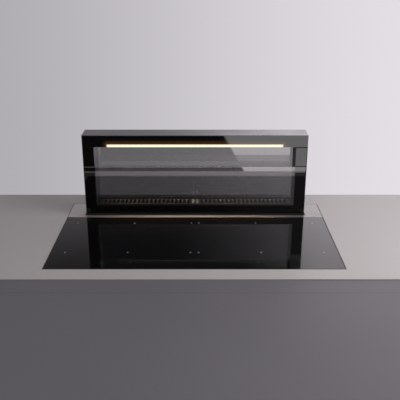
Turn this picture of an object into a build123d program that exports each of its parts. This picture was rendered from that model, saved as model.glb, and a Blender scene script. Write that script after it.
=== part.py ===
from build123d import *
import math
import os

# Built-in induction hob with a glass extractor tower that rises out of a steel plate behind the hob.
# Millimetres. X runs to the right, Y to the back, Z up. The origin is the centre of the worktop
# cut-out, on the underside of the sealing tape.

# Rim and cut-out
unit_width = 880.0
unit_depth = 515.0
corner_radius = 3.0
rim_side_lap = 10.0
rim_end_lap = 10.5
cutout_width = unit_width - 2 * rim_side_lap
cutout_depth = unit_depth - 2 * rim_end_lap
cutout_clearance = 4.0
tape_thickness = 1.0
tape_width = 8.0
tape_inset = 1.0

# Ceramic glass and trim plate
plate_depth = 122.5
plate_gap = 1.0
glass_depth = unit_depth - plate_depth - plate_gap
glass_thickness = 4.0
glass_bevel = 0.8
plate_sheet = 1.5
plate_rim_width = 14.0
top_face = tape_thickness + glass_thickness
rim_underside = tape_thickness
front_edge = -unit_depth / 2
rear_edge = unit_depth / 2
glass_rear = front_edge + glass_depth
plate_front = glass_rear + plate_gap

# Tower
tower_side_margin = 61.0
tower_width = unit_width - 2 * tower_side_margin
tower_depth = 74.0
tower_rear_margin = 26.5
tower_rise = 286.0
tower_skin = 2.0
tower_back = rear_edge - tower_rear_margin
tower_front = tower_back - tower_depth
tower_top = top_face + tower_rise
tower_half = tower_width / 2
tower_middle = (tower_front + tower_back) / 2
tower_foot_depth = 65.0
tower_foot = top_face - tower_foot_depth
frame_border = 38.6
window_half = tower_half - frame_border

# Slot in the trim plate
slot_clearance = 3.0
gasket_gap = 0.5
gasket_bead = 0.6
gasket_lip = 4.0

# Header with the light bar, over an intake that stays open between it and the front pane
header_height = 41.0
fascia_thickness = 4.0
header_bottom = tower_top - header_height
intake_height = 70.0
side_strip_gap = 3.0
light_side_margin = 82.0
light_length = tower_width - 2 * light_side_margin
light_height = 9.0
light_fit = 0.3
light_tongue = 4.0
light_roof = 3.0
light_sources = 33
light_source_width = 5.0
light_source_height = 1.2
profile_wall = 1.5
profile_depth = 13.0
board_thickness = 1.6

# Panes
front_pane_thickness = 5.0
rear_pane_thickness = 4.0
pane_side_gap = 0.5
pane_edge_bevel = 0.6
pane_top = header_bottom - intake_height
pane_lift = 10.0
pane_bottom = top_face + pane_lift
pane_back = tower_front + front_pane_thickness
pane_half = tower_half - tower_skin - pane_side_gap
rear_glass_front = tower_back - rear_pane_thickness

# Pane hinge, in the lower corners of the front pane
hinge_height = 7.0
hinge_y = tower_front + front_pane_thickness / 2
hinge_z = pane_bottom + hinge_height
hinge_pin_radius = 1.5
running_fit = 0.05
rail_depth = 4.0
rail_height = 16.0
corner_block_width = 12.0
corner_block_height = 14.0
corner_block_gap = 0.5
pin_engagement = 10.0
hinge_sweep_gap = 1.2
stile_wall = 2.0

# Base frame and filter well
deck_clearance = 4.0
deck_top = pane_bottom - deck_clearance
frame_sheet = 2.0
well_front_setback = 14.5
well_rear_setback = 8.5
well_front = tower_front + well_front_setback
well_rear = tower_back - well_rear_setback
filter_seat_depth = 55.0
filter_seat = top_face - filter_seat_depth
seat_ledge = 5.0
centre_bar = 8.0

# Grease filters
filter_fit = 0.5
filter_height = 90.0
filter_wall = 1.5
filter_top_sheet = 2.0
filter_slot_pitch = 14.6
filter_slot_width = 9.6
filter_slot_margin = 9.0
filter_end_margin = 10.0
mesh_layers = 5
mesh_sheet = 1.2
filter_top = filter_seat + filter_height
tab_width = 8.0
tab_offset = 7.0
tab_height = 13.0
tab_sheet = 1.5
tab_foot = 8.0
tab_setback = 6.0
tab_eye_radius = 2.0

# Housing below the plate
drive_bay_width = 44.0
casing_rear_margin = 15.5
casing_room = 120.0
casing_sheet = 1.5
motor_bay_height = 164.0
casing_half = tower_half + drive_bay_width
casing_back = rear_edge - casing_rear_margin
casing_front = casing_back - casing_room
casing_bottom = -tower_rise - motor_bay_height
side_flange = 6.0
rear_flange = 4.0
support_flange = 26.0
casing_wall_inside = casing_half - casing_sheet

# Lift: guide rods, lead screws, carriages and gearmotors
drive_inset = 22.0
screw_offset = 14.0
rod_offset = 16.0
drive_x = casing_half - drive_inset
screw_y = tower_middle - screw_offset
rod_y = tower_middle + rod_offset
rod_radius = 6.0
screw_radius = 5.0
journal_radius = 4.0
bearing_height = 12.0
bearing_top = -4.0
bearing_width = 35.5
bearing_inner_x = casing_wall_inside - bearing_width
bearing_depth_margin = 12.0
carriage_arm_lift = 2.0
carriage_height = 28.0
carriage_plate = 4.0
carriage_plate_height = 44.0
carriage_wall_gap = 9.0
carriage_outer_x = casing_half - carriage_wall_gap
nut_radius = 9.0
nut_flange_radius = 12.5
nut_flange = 4.0
travel_margin = 4.0
gearbox_radius = 20.0
gearbox_height = 28.0
motor_radius = 17.0
motor_height = 46.0
motor_boss_radius = 7.0
motor_boss_height = 3.0
screw_end_in_gearbox = 18.0
shoulder_gap = 1.0

# Blower on the front of the housing
blower_floor_height = 202.0
blower_z = casing_bottom + blower_floor_height
impeller_radius = 110.0
blade_depth = 22.0
impeller_inner = impeller_radius - blade_depth
blade_count = 36
blade_thickness = 1.2
blade_length = 88.0
blade_sweep_angle = 7.0
blade_arc_radius = 20.0
ring_width = 8.0
ring_length = 4.0
hub_boss_radius = 10.0
impeller_back_gap = 14.0
impeller_disc = 2.0
hub_radius = 30.0
hub_cone_rise = 42.0
hub_gap = 1.0
axle_radius = 4.0
scroll_wall = 2.0
scroll_depth = 119.0
scroll_offset = 13.0
scroll_room = 50.0
scroll_first_radius = impeller_radius + scroll_room
outlet_length = 20.0
scroll_outlet_drop = scroll_first_radius + outlet_length
tongue_angle = 65.0
tongue_radius = 6.0
inlet_inset = 4.0
inlet_radius = impeller_inner - inlet_inset
inlet_lip = 6.0
inlet_lip_radius = 3.0
panel_inlet_gap = 8.0
panel_inlet_radius = inlet_radius + panel_inlet_gap
cover_sheet = 3.0
cover_rib = 3.0
cover_rib_width = 6.0
cover_rib_count = 8
cover_rib_length = 56.0
cover_rib_inset = 26.0
cover_rib_ring_radius = impeller_radius - cover_rib_inset
cover_rib_first_angle = 22.5
blower_motor_radius = 40.0
blower_motor_length = 46.0
blower_motor_flange = 52.0
motor_fin_count = 12
motor_fin_height = 4.0
motor_fin_width = 2.5
motor_flange_sheet = 3.0
motor_tail = 18.0
motor_seat_gap = 0.5
axle_length = 20.0

# Outlet collar and non-return flaps
duct_radius = 75.0
collar_wall = 1.5
collar_flange = 3.0
transition_height = 22.0
collar_length = 72.0
flap_axis_drop = 4.0
flap_axis_offset = 4.0
flap_pivot_radius = 2.0
flap_knuckle_radius = 3.0
flap_sheet = 1.5
flap_edge_gap = 1.0
collar_back_gap = 1.0
collar_flange_width = 8.0
outlet_corner = 12.0
flap_ledge = 3.0

# Hood control box
control_box_width = 190.0
control_box_depth = 52.0
control_box_height = 96.0
control_box_inset = 123.0
control_box_x = control_box_inset - casing_half
control_box_top = -70.0
control_box_lid = 3.0
control_box_groove = 1.0
control_entry_pitch = 80.0
control_entry_radius = 8.0
control_entry_depth = 12.0

# Hob tray
tray_sheet = 1.2
tray_depth = 50.0
tray_front_gap = 3.0
tray_rear_gap = 4.0
tray_corner = 6.0
post_radius = 5.0
post_side_inset = 16.0
post_inner_x = 120.0
post_front_inset = 14.0
post_rear_inset = 18.0

# Cooking zones: four in one row
zone_count = 4
zone_side_margin = 56.0
zone_front_margin = 111.5
zone_rear_margin = 51.0
zone_pitch = (unit_width - 2 * zone_side_margin) / zone_count
zone_depth = glass_depth - zone_front_margin - zone_rear_margin
zone_centre_y = front_edge + zone_front_margin + zone_depth / 2
coil_gap = 6.0
coil_corner = 46.0
coil_height = 6.0
coil_web = 2.5
coil_turns = 5
turn_width = 5.0
turn_pitch = 9.5
cover_thickness = 3.0
cover_margin = 1.0
carrier_height = 8.0
carrier_sheet = 3.0
carrier_eye = 20.0
ferrite_width = 14.0
ferrite_length = 62.0
ferrites_per_coil = 8
ferrite_first_angle = 22.5
ferrite_ring_radius = 56.0
sensor_radius = 9.0
sensor_stem = 4.0
support_sheet = 2.0
support_margin = 10.0
wiring_hole_radius = 12.0
wiring_hole_offset = 62.0

# Hob electronics
power_board_inset = 33.0
power_board_inner_x = 127.0
power_board_outer_x = cutout_width / 2 - power_board_inset
power_board_width = power_board_outer_x - power_board_inner_x
power_board_trim = 39.0
power_board_depth = zone_depth - power_board_trim
power_board_x = (power_board_outer_x + power_board_inner_x) / 2
power_board_shift = 4.5
power_board_y = zone_centre_y - power_board_shift
board_standoff = 6.0
standoff_radius = 3.5
component_height = 14.0
board_margin = 8.0
capacitors = 3
capacitor_pitch = 62.0
capacitor_width = 32.0
capacitor_depth = 18.0
capacitor_row = 0.0
chokes = 3
choke_pitch = 72.0
choke_radius = 15.0
choke_row = 45.0
sink_end_margin = 35.0
sink_width = power_board_width - 2 * sink_end_margin
sink_depth = 46.0
sink_height = 18.0
sink_base = 4.0
sink_fins = 9
sink_fin = 1.6
fan_size = 92.0
fan_height = 24.0
fan_x = 66.0
fan_y = power_board_y
fan_bore = 42.0
fan_wall = 2.0
fan_blades = 9
fan_hub = 17.0
fan_tip_gap = 1.5
fan_blade_angle = 35.0
fan_blade_chord = 15.0
fan_blade_thickness = 1.2
fan_blade_ring_radius = 31.0
fan_disc = 1.5
fan_floor_gap = 1.0
fan_outlet = 60.0
fan_axle = 2.5
touch_width = 330.0
touch_depth = 46.0
touch_front_margin = 57.5
touch_y = front_edge + touch_front_margin
touch_drop = 3.0
touch_holder_wall = 2.0
light_guide_radius = 2.5
light_guide_pitch = 24.0
light_guide_count = 12
touch_ribs = 4
terminal_inset = 100.0
terminal_x = cutout_width / 2 - terminal_inset
terminal_width = 64.0
terminal_depth = 30.0
terminal_height = 24.0
terminal_poles = 5
terminal_bore = 2.5

# Worktop clamps
clamp_front_margin = 67.5
clamp_rear_margin = 52.0
clamp_x = unit_width / 2
clamp_y_front = front_edge + clamp_front_margin
clamp_y_rear = casing_front - clamp_rear_margin
clamp_width = 24.0
clamp_sheet = 2.0
clamp_reach = 46.0
clamp_screw_radius = 2.5
clamp_screw_length = 14.0
clamp_foot_radius = 5.0

os.makedirs("parts", exist_ok=True)


def edge_rectangle(left, right, low, high, mode=Mode.ADD, radius=0.0):
    """A rectangle in the current sketch, placed by its four edges."""
    with Locations(((left + right) / 2, (low + high) / 2)):
        if radius:
            RectangleRounded(right - left, high - low, radius, mode=mode)
        else:
            Rectangle(right - left, high - low, mode=mode)


def at_height(z):
    """Level plane at the height z."""
    return Plane.XY.offset(z)


def at_depth(y):
    """Upright plane facing the front, at the depth y. A negative extrusion runs to the back."""
    return Plane.XZ.offset(-y)


def at_side(x):
    """Upright plane facing right, at the width x."""
    return Plane.YZ.offset(x)


# Ceramic glass: one plate with a ground bevel round its top edge.
with BuildPart() as ceramic_glass:
    with BuildSketch(at_height(rim_underside)):
        edge_rectangle(-unit_width / 2, unit_width / 2, front_edge, glass_rear)
    extrude(amount=glass_thickness)
    front_corners = ceramic_glass.edges().filter_by(Axis.Z).group_by(Axis.Y)[0]
    fillet(front_corners, corner_radius)
    chamfer(ceramic_glass.faces().sort_by(Axis.Z)[-1].edges(), glass_bevel)
ceramic_glass.part.label = "ceramic_glass"
export_step(ceramic_glass.part, "parts/ceramic_glass.step")

# Trim plate: pressed steel, flush with the glass, with a solid rim and the slot for the tower.
slot_half = tower_half + slot_clearance
slot_front = tower_front - slot_clearance
slot_back = tower_back + slot_clearance
with BuildPart() as trim_plate:
    with BuildSketch(at_height(rim_underside)):
        edge_rectangle(-unit_width / 2, unit_width / 2, plate_front, rear_edge)
    extrude(amount=top_face - rim_underside)
    rear_corners = trim_plate.edges().filter_by(Axis.Z).group_by(Axis.Y)[-1]
    fillet(rear_corners, corner_radius)
    with BuildSketch(at_height(rim_underside)):
        edge_rectangle(
            plate_rim_width - unit_width / 2,
            unit_width / 2 - plate_rim_width,
            plate_front + plate_rim_width,
            rear_edge - plate_rim_width,
        )
    extrude(amount=top_face - rim_underside - plate_sheet, mode=Mode.SUBTRACT)
    with BuildSketch(at_height(top_face)):
        edge_rectangle(-slot_half, slot_half, slot_front, slot_back)
    extrude(amount=-glass_thickness, mode=Mode.SUBTRACT)
trim_plate.part.label = "trim_plate"
export_step(trim_plate.part, "parts/trim_plate.step")

# Slot gasket: rubber frame that fills the slot and wipes the tower, with a low bead on the plate.
gasket_half = tower_half + gasket_gap
gasket_front = tower_front - gasket_gap
gasket_back = tower_back + gasket_gap
with BuildPart() as slot_gasket:
    with BuildSketch(at_height(rim_underside)):
        edge_rectangle(-slot_half, slot_half, slot_front, slot_back)
        edge_rectangle(-gasket_half, gasket_half, gasket_front, gasket_back, Mode.SUBTRACT)
    extrude(amount=top_face - rim_underside)
    with BuildSketch(at_height(top_face)):
        edge_rectangle(
            -gasket_half - gasket_lip,
            gasket_half + gasket_lip,
            gasket_front - gasket_lip,
            gasket_back + gasket_lip,
        )
        edge_rectangle(-gasket_half, gasket_half, gasket_front, gasket_back, Mode.SUBTRACT)
    extrude(amount=gasket_bead)
slot_gasket.part.label = "slot_gasket"
export_step(slot_gasket.part, "parts/slot_gasket.step")

# Sealing tape under the rim of the glass and the plate.
tape_half_width = unit_width / 2 - tape_inset
tape_half_depth = unit_depth / 2 - tape_inset
with BuildPart() as seal_tape:
    with BuildSketch(at_height(0)):
        edge_rectangle(-tape_half_width, tape_half_width, -tape_half_depth, tape_half_depth)
        edge_rectangle(
            tape_width - tape_half_width,
            tape_half_width - tape_width,
            tape_width - tape_half_depth,
            tape_half_depth - tape_width,
            Mode.SUBTRACT,
        )
    extrude(amount=tape_thickness)
seal_tape.part.label = "seal_tape"
export_step(seal_tape.part, "parts/seal_tape.step")

# Hob tray: deep-drawn sheet box under the glass.
tray_half = cutout_width / 2 - cutout_clearance
tray_front = -cutout_depth / 2 + tray_front_gap
tray_rear = casing_front - tray_rear_gap
tray_floor = rim_underside - tray_depth
tray_floor_top = tray_floor + tray_sheet
coil_bottom = rim_underside - cover_thickness - coil_height
carrier_bottom = coil_bottom - carrier_height
support_bottom = carrier_bottom - support_sheet
with BuildPart() as hob_tray:
    with BuildSketch(at_height(tray_floor)):
        edge_rectangle(-tray_half, tray_half, tray_front, tray_rear, radius=tray_corner)
    extrude(amount=tray_depth)
    with BuildSketch(at_height(tray_floor_top)):
        edge_rectangle(
            tray_sheet - tray_half,
            tray_half - tray_sheet,
            tray_front + tray_sheet,
            tray_rear - tray_sheet,
            radius=tray_corner - tray_sheet,
        )
    extrude(amount=tray_depth, mode=Mode.SUBTRACT)
hob_tray.part.label = "hob_tray"
export_step(hob_tray.part, "parts/hob_tray.step")

# Coil support plate: aluminium sheet on eight riveted posts, with a wiring hole beside each coil.
touch_rear = touch_y + touch_depth / 2
post_outer_x = tray_half - post_side_inset
post_front_y = touch_rear + post_front_inset
post_rear_y = tray_rear - post_rear_inset
post_positions = [
    (x, y)
    for x in (-post_outer_x, -post_inner_x, post_inner_x, post_outer_x)
    for y in (post_front_y, post_rear_y)
]
support_half = tray_half - tray_sheet - support_margin
zone_x = [zone_pitch * (i - (zone_count - 1) / 2) for i in range(zone_count)]
zone_centres = [(x, zone_centre_y) for x in zone_x]
with BuildPart() as coil_support_plate:
    with BuildSketch(at_height(support_bottom)):
        edge_rectangle(
            -support_half,
            support_half,
            touch_rear + support_margin / 2,
            tray_rear - tray_sheet - support_margin,
            radius=tray_corner,
        )
        with Locations(*[(x, y + wiring_hole_offset) for x, y in zone_centres]):
            Circle(wiring_hole_radius, mode=Mode.SUBTRACT)
    extrude(amount=support_sheet)
    with BuildSketch(at_height(tray_floor_top)):
        with Locations(*post_positions):
            Circle(post_radius)
    extrude(amount=support_bottom - tray_floor_top)
coil_support_plate.part.label = "coil_support_plate"
export_step(coil_support_plate.part, "parts/coil_support_plate.step")

# Coil windings: one flat rounded-rectangle winding per zone, a thin web with raised turns.
coil_width = zone_pitch - coil_gap
coil_length = zone_depth - coil_gap
winding_band = 2 * ((coil_turns - 1) * turn_pitch + turn_width)
with BuildPart() as coil_windings:
    with BuildSketch(at_height(coil_bottom)):
        with Locations(*zone_centres):
            RectangleRounded(coil_width, coil_length, coil_corner)
            RectangleRounded(
                coil_width - winding_band,
                coil_length - winding_band,
                coil_corner - winding_band / 2,
                mode=Mode.SUBTRACT,
            )
    extrude(amount=coil_web)
    with BuildSketch(at_height(coil_bottom + coil_web)):
        with Locations(*zone_centres):
            for turn in range(coil_turns):
                outside = turn * turn_pitch
                inside = outside + turn_width
                RectangleRounded(
                    coil_width - 2 * outside, coil_length - 2 * outside, coil_corner - outside
                )
                RectangleRounded(
                    coil_width - 2 * inside,
                    coil_length - 2 * inside,
                    coil_corner - inside,
                    mode=Mode.SUBTRACT,
                )
    extrude(amount=coil_height - coil_web)
coil_windings.part.label = "coil_windings"
export_step(coil_windings.part, "parts/coil_windings.step")

# Coil carriers: one moulded plate under each winding, with a rim and an eye for the sensor.
with BuildPart() as coil_carriers:
    with BuildSketch(at_height(carrier_bottom)):
        with Locations(*zone_centres):
            RectangleRounded(coil_width, coil_length, coil_corner)
            Circle(carrier_eye, mode=Mode.SUBTRACT)
    extrude(amount=carrier_sheet)
    with BuildSketch(at_height(carrier_bottom + carrier_sheet)):
        with Locations(*zone_centres):
            RectangleRounded(coil_width, coil_length, coil_corner)
            RectangleRounded(
                coil_width - 2 * carrier_sheet,
                coil_length - 2 * carrier_sheet,
                coil_corner - carrier_sheet,
                mode=Mode.SUBTRACT,
            )
    extrude(amount=carrier_height - carrier_sheet)
coil_carriers.part.label = "coil_carriers"
export_step(coil_carriers.part, "parts/coil_carriers.step")

# Ferrite bars: a star of flat bars between each carrier and its winding.
with BuildPart() as ferrite_bars:
    with BuildSketch(at_height(carrier_bottom + carrier_sheet)):
        with Locations(*zone_centres):
            with PolarLocations(ferrite_ring_radius, ferrites_per_coil, start_angle=ferrite_first_angle):
                Rectangle(ferrite_length, ferrite_width)
    extrude(amount=carrier_height - carrier_sheet)
ferrite_bars.part.label = "ferrite_bars"
export_step(ferrite_bars.part, "parts/ferrite_bars.step")

# Coil covers: insulating mica sheets between the windings and the glass.
with BuildPart() as coil_covers:
    with BuildSketch(at_height(rim_underside - cover_thickness)):
        with Locations(*zone_centres):
            RectangleRounded(
                coil_width + 2 * cover_margin, coil_length + 2 * cover_margin, coil_corner
            )
            Circle(sensor_radius + cover_margin, mode=Mode.SUBTRACT)
    extrude(amount=cover_thickness)
coil_covers.part.label = "coil_covers"
export_step(coil_covers.part, "parts/coil_covers.step")

# Zone sensors: temperature feelers in the eye of each coil, held against the glass by their stems.
with BuildPart() as zone_sensors:
    with BuildSketch(at_height(carrier_bottom)):
        with Locations(*zone_centres):
            Circle(sensor_stem)
    extrude(amount=coil_bottom - carrier_bottom)
    with BuildSketch(at_height(coil_bottom)):
        with Locations(*zone_centres):
            Circle(sensor_radius)
    extrude(amount=rim_underside - coil_bottom)
zone_sensors.part.label = "zone_sensors"
export_step(zone_sensors.part, "parts/zone_sensors.step")

# Power boards: one per pair of zones, on standoffs, with filter capacitors and chokes.
board_bottom = tray_floor_top + board_standoff
board_top = board_bottom + board_thickness
sink_y = power_board_y - power_board_depth / 2 + sink_depth / 2 + board_margin
with BuildPart() as power_boards:
    with BuildSketch(at_height(board_bottom)):
        with Locations((-power_board_x, power_board_y), (power_board_x, power_board_y)):
            Rectangle(power_board_width, power_board_depth)
    extrude(amount=board_thickness)
    with BuildSketch(at_height(tray_floor_top)):
        with Locations((-power_board_x, power_board_y), (power_board_x, power_board_y)):
            with GridLocations(
                power_board_width - 2 * board_margin, power_board_depth - 2 * board_margin, 2, 2
            ):
                Circle(standoff_radius)
    extrude(amount=board_standoff)
    with BuildSketch(at_height(board_top)):
        with Locations((-power_board_x, power_board_y), (power_board_x, power_board_y)):
            with Locations((0, capacitor_row)):
                with GridLocations(capacitor_pitch, 0, capacitors, 1):
                    Rectangle(capacitor_width, capacitor_depth)
            with Locations((0, choke_row)):
                with GridLocations(choke_pitch, 0, chokes, 1):
                    Circle(choke_radius)
    extrude(amount=component_height)
power_boards.part.label = "power_boards"
export_step(power_boards.part, "parts/power_boards.step")

# Heat sinks: finned aluminium extrusions on the boards, in the stream of the fans.
with BuildPart() as heat_sinks:
    for side in (-1, 1):
        with BuildSketch(at_side(side * power_board_x - sink_width / 2)):
            edge_rectangle(
                sink_y - sink_depth / 2, sink_y + sink_depth / 2, board_top, board_top + sink_base
            )
            with Locations((sink_y, board_top + (sink_height + sink_base) / 2)):
                with GridLocations((sink_depth - sink_fin) / (sink_fins - 1), 0, sink_fins, 1):
                    Rectangle(sink_fin, sink_height - sink_base)
        extrude(amount=sink_width)
heat_sinks.part.label = "heat_sinks"
export_step(heat_sinks.part, "parts/heat_sinks.step")

# Fan frames: square blower housings, open on top, that blow outwards through one side.
with BuildPart() as fan_frames:
    for side in (-1, 1):
        with BuildSketch(at_height(tray_floor_top)):
            with Locations((side * fan_x, fan_y)):
                RectangleRounded(fan_size, fan_size, fan_wall)
        extrude(amount=fan_height)
        with BuildSketch(at_height(tray_floor_top + fan_wall)):
            with Locations((side * fan_x, fan_y)):
                Circle(fan_bore)
        extrude(amount=fan_height, mode=Mode.SUBTRACT)
        with BuildSketch(at_height(tray_floor_top + fan_wall)):
            with Locations((side * (fan_x + fan_size / 4), fan_y)):
                Rectangle(fan_size / 2, fan_outlet)
        extrude(amount=fan_height - 2 * fan_wall, mode=Mode.SUBTRACT)
        with BuildSketch(at_height(tray_floor_top + fan_wall)):
            with Locations((side * fan_x, fan_y)):
                Circle(fan_axle)
        extrude(amount=fan_height - 2 * fan_wall)
fan_frames.part.label = "fan_frames"
export_step(fan_frames.part, "parts/fan_frames.step")

# Fan rotors: a cup hub with a disc and swept blades, free on the frame's axle.
rotor_bottom = tray_floor_top + fan_wall + fan_floor_gap
rotor_height = fan_height - 2 * fan_wall - fan_floor_gap
for side, name in ((-1, "left_fan_rotor"), (1, "right_fan_rotor")):
    with BuildPart() as fan_rotor:
        with BuildSketch(at_height(rotor_bottom)):
            with Locations((side * fan_x, fan_y)):
                Circle(fan_bore - fan_tip_gap)
                Circle(fan_axle + running_fit, mode=Mode.SUBTRACT)
        extrude(amount=fan_disc)
        with BuildSketch(at_height(rotor_bottom)):
            with Locations((side * fan_x, fan_y)):
                Circle(fan_hub)
                Circle(fan_axle + running_fit, mode=Mode.SUBTRACT)
        extrude(amount=rotor_height)
        with BuildSketch(at_height(rotor_bottom)):
            with Locations((side * fan_x, fan_y)):
                with PolarLocations(fan_blade_ring_radius, fan_blades):
                    with Locations(Rotation(0, 0, side * fan_blade_angle)):
                        SlotOverall(fan_blade_chord, fan_blade_thickness)
        extrude(amount=rotor_height)
    fan_rotor.part.label = name
    export_step(fan_rotor.part, f"parts/{name}.step")

# Touch board: sensor board close under the glass, with short light guides for the dead-front marks.
touch_top = rim_underside - touch_drop
with BuildPart() as touch_board:
    with BuildSketch(at_height(touch_top - board_thickness)):
        with Locations((0, touch_y)):
            Rectangle(touch_width, touch_depth)
    extrude(amount=board_thickness)
    with BuildSketch(at_height(touch_top)):
        with Locations((0, touch_y)):
            with GridLocations(light_guide_pitch, 0, light_guide_count, 1):
                Circle(light_guide_radius)
    extrude(amount=touch_drop)
touch_board.part.label = "touch_board"
export_step(touch_board.part, "parts/touch_board.step")

# Touch board holder: moulded frame from the tray floor up to the board.
with BuildPart() as touch_board_holder:
    with BuildSketch(at_height(tray_floor_top)):
        with Locations((0, touch_y)):
            RectangleRounded(touch_width, touch_depth, touch_holder_wall)
            Rectangle(
                touch_width - 2 * touch_holder_wall,
                touch_depth - 2 * touch_holder_wall,
                mode=Mode.SUBTRACT,
            )
            with GridLocations(touch_width / touch_ribs, 0, touch_ribs - 1, 1):
                Rectangle(touch_holder_wall, touch_depth)
    extrude(amount=touch_top - board_thickness - tray_floor_top)
touch_board_holder.part.label = "touch_board_holder"
export_step(touch_board_holder.part, "parts/touch_board_holder.step")

# Mains terminal: block with a row of wire entries, at the tray's rear wall.
terminal_y = tray_rear - tray_sheet - terminal_depth / 2
with BuildPart() as mains_terminal:
    with BuildSketch(at_height(tray_floor_top)):
        with Locations((terminal_x, terminal_y)):
            Rectangle(terminal_width, terminal_depth)
    extrude(amount=terminal_height)
    with BuildSketch(at_depth(terminal_y - terminal_depth / 2)):
        with Locations((terminal_x, tray_floor_top + terminal_height / 2)):
            with GridLocations(terminal_width / terminal_poles, 0, terminal_poles, 1):
                Circle(terminal_bore)
    extrude(amount=-terminal_depth / 2, mode=Mode.SUBTRACT)
    with BuildSketch(at_height(tray_floor_top + terminal_height)):
        with Locations((terminal_x, terminal_y)):
            with GridLocations(terminal_width / terminal_poles, 0, terminal_poles, 1):
                Circle(terminal_bore)
    extrude(amount=-terminal_height / 4, mode=Mode.SUBTRACT)
mains_terminal.part.label = "mains_terminal"
export_step(mains_terminal.part, "parts/mains_terminal.step")

# Worktop clamps: a tongue under each corner of the tray, with a jack screw against the worktop.
clamp_points = [(side, y) for side in (-1, 1) for y in (clamp_y_front, clamp_y_rear)]
clamp_screw_x = clamp_x - clamp_foot_radius
clamp_tongues = [(side * (clamp_x - clamp_reach / 2), y) for side, y in clamp_points]
clamp_screws = [(side * clamp_screw_x, y) for side, y in clamp_points]
with BuildPart() as worktop_clamps:
    with BuildSketch(at_height(tray_floor - clamp_sheet)):
        with Locations(*clamp_tongues):
            RectangleRounded(clamp_reach, clamp_width, clamp_sheet)
    extrude(amount=clamp_sheet)
    with BuildSketch(at_height(tray_floor)):
        with Locations(*clamp_screws):
            Circle(clamp_screw_radius)
    extrude(amount=clamp_screw_length)
    with BuildSketch(at_height(tray_floor + clamp_screw_length - clamp_sheet)):
        with Locations(*clamp_screws):
            Circle(clamp_foot_radius)
    extrude(amount=clamp_sheet)
worktop_clamps.part.label = "worktop_clamps"
export_step(worktop_clamps.part, "parts/worktop_clamps.step")

# Tower cap: folded metal channel, closed on top, at the back and at both ends.
fascia_back = tower_front + fascia_thickness
cap_underside = tower_top - tower_skin
profile_top = header_bottom + light_height + light_roof
with BuildPart() as tower_cap:
    with BuildSketch(at_height(header_bottom)):
        edge_rectangle(-tower_half, tower_half, fascia_back, tower_back)
        edge_rectangle(
            tower_skin - tower_half,
            tower_half - tower_skin,
            fascia_back,
            tower_back - tower_skin,
            Mode.SUBTRACT,
        )
    extrude(amount=cap_underside - header_bottom)
    with BuildSketch(at_height(cap_underside)):
        edge_rectangle(-tower_half, tower_half, tower_front, tower_back)
    extrude(amount=tower_skin)
    with BuildSketch(at_height(profile_top)):
        edge_rectangle(
            tower_skin - tower_half, tower_half - tower_skin, fascia_back, fascia_back + tower_skin
        )
    extrude(amount=cap_underside - profile_top)
tower_cap.part.label = "tower_cap"
export_step(tower_cap.part, "parts/tower_cap.step")

# Header fascia: black glass strip bonded to the cap, notched in its lower edge for the light. A
# short strip of the same glass stands on each stile, beside the open intake.
light_half = light_length / 2
strip_bottom = pane_top + side_strip_gap
strip_top = header_bottom - side_strip_gap
with BuildPart() as header_fascia:
    with BuildSketch(at_depth(tower_front)):
        edge_rectangle(-tower_half, tower_half, header_bottom, cap_underside)
        edge_rectangle(
            -light_half, light_half, header_bottom, header_bottom + light_height, Mode.SUBTRACT
        )
        edge_rectangle(-pane_half, -window_half, strip_bottom, strip_top)
        edge_rectangle(window_half, pane_half, strip_bottom, strip_top)
    extrude(amount=-fascia_thickness)
header_fascia.part.label = "header_fascia"
export_step(header_fascia.part, "parts/header_fascia.step")

# Light profile: aluminium channel behind the fascia, open to the front.
profile_half = light_half + profile_wall
channel_floor = header_bottom + profile_wall
channel_roof = profile_top - profile_wall
channel_back = fascia_back + profile_depth - profile_wall
with BuildPart() as led_profile:
    with BuildSketch(at_side(-profile_half)):
        edge_rectangle(fascia_back, fascia_back + profile_depth, header_bottom, profile_top)
        edge_rectangle(fascia_back, channel_back, channel_floor, channel_roof, Mode.SUBTRACT)
    extrude(amount=2 * profile_half)
led_profile.part.label = "led_profile"
export_step(led_profile.part, "parts/led_profile.step")

# Light board: strip on the channel's back wall with a row of light sources.
with BuildPart() as led_board:
    with BuildSketch(at_side(-light_half)):
        edge_rectangle(channel_back - board_thickness, channel_back, channel_floor, channel_roof)
    extrude(amount=light_length)
    with BuildSketch(at_depth(channel_back - board_thickness)):
        with Locations((0, (channel_floor + channel_roof) / 2)):
            with GridLocations(light_length / light_sources, 0, light_sources, 1):
                Rectangle(light_source_width, light_source_width)
    extrude(amount=light_source_height)
led_board.part.label = "led_board"
export_step(led_board.part, "parts/led_board.step")

# Light diffuser: opal bar in the fascia's notch, with a tongue into the channel.
with BuildPart() as led_diffuser:
    with BuildSketch(at_side(light_fit - light_half)):
        edge_rectangle(
            tower_front + light_fit,
            fascia_back,
            header_bottom,
            header_bottom + light_height - light_fit,
        )
        edge_rectangle(fascia_back, fascia_back + light_tongue, channel_floor, channel_roof)
    extrude(amount=light_length - 2 * light_fit)
led_diffuser.part.label = "led_diffuser"
export_step(led_diffuser.part, "parts/led_diffuser.step")

# Front pane: one sheet over window and border, with a notch in each lower corner for the hinge.
notch_width = corner_block_width + corner_block_gap
notch_top = pane_bottom + corner_block_height + corner_block_gap
with BuildPart() as front_pane:
    with BuildSketch(at_depth(tower_front)):
        edge_rectangle(-pane_half, pane_half, pane_bottom, pane_top)
        edge_rectangle(-pane_half, notch_width - pane_half, pane_bottom, notch_top, Mode.SUBTRACT)
        edge_rectangle(pane_half - notch_width, pane_half, pane_bottom, notch_top, Mode.SUBTRACT)
    extrude(amount=-front_pane_thickness)
    front_rim = front_pane.faces().sort_by(Axis.Y)[0].edges()
    chamfer(front_rim, pane_edge_bevel)
front_pane.part.label = "front_pane"
export_step(front_pane.part, "parts/front_pane.step")

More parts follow.
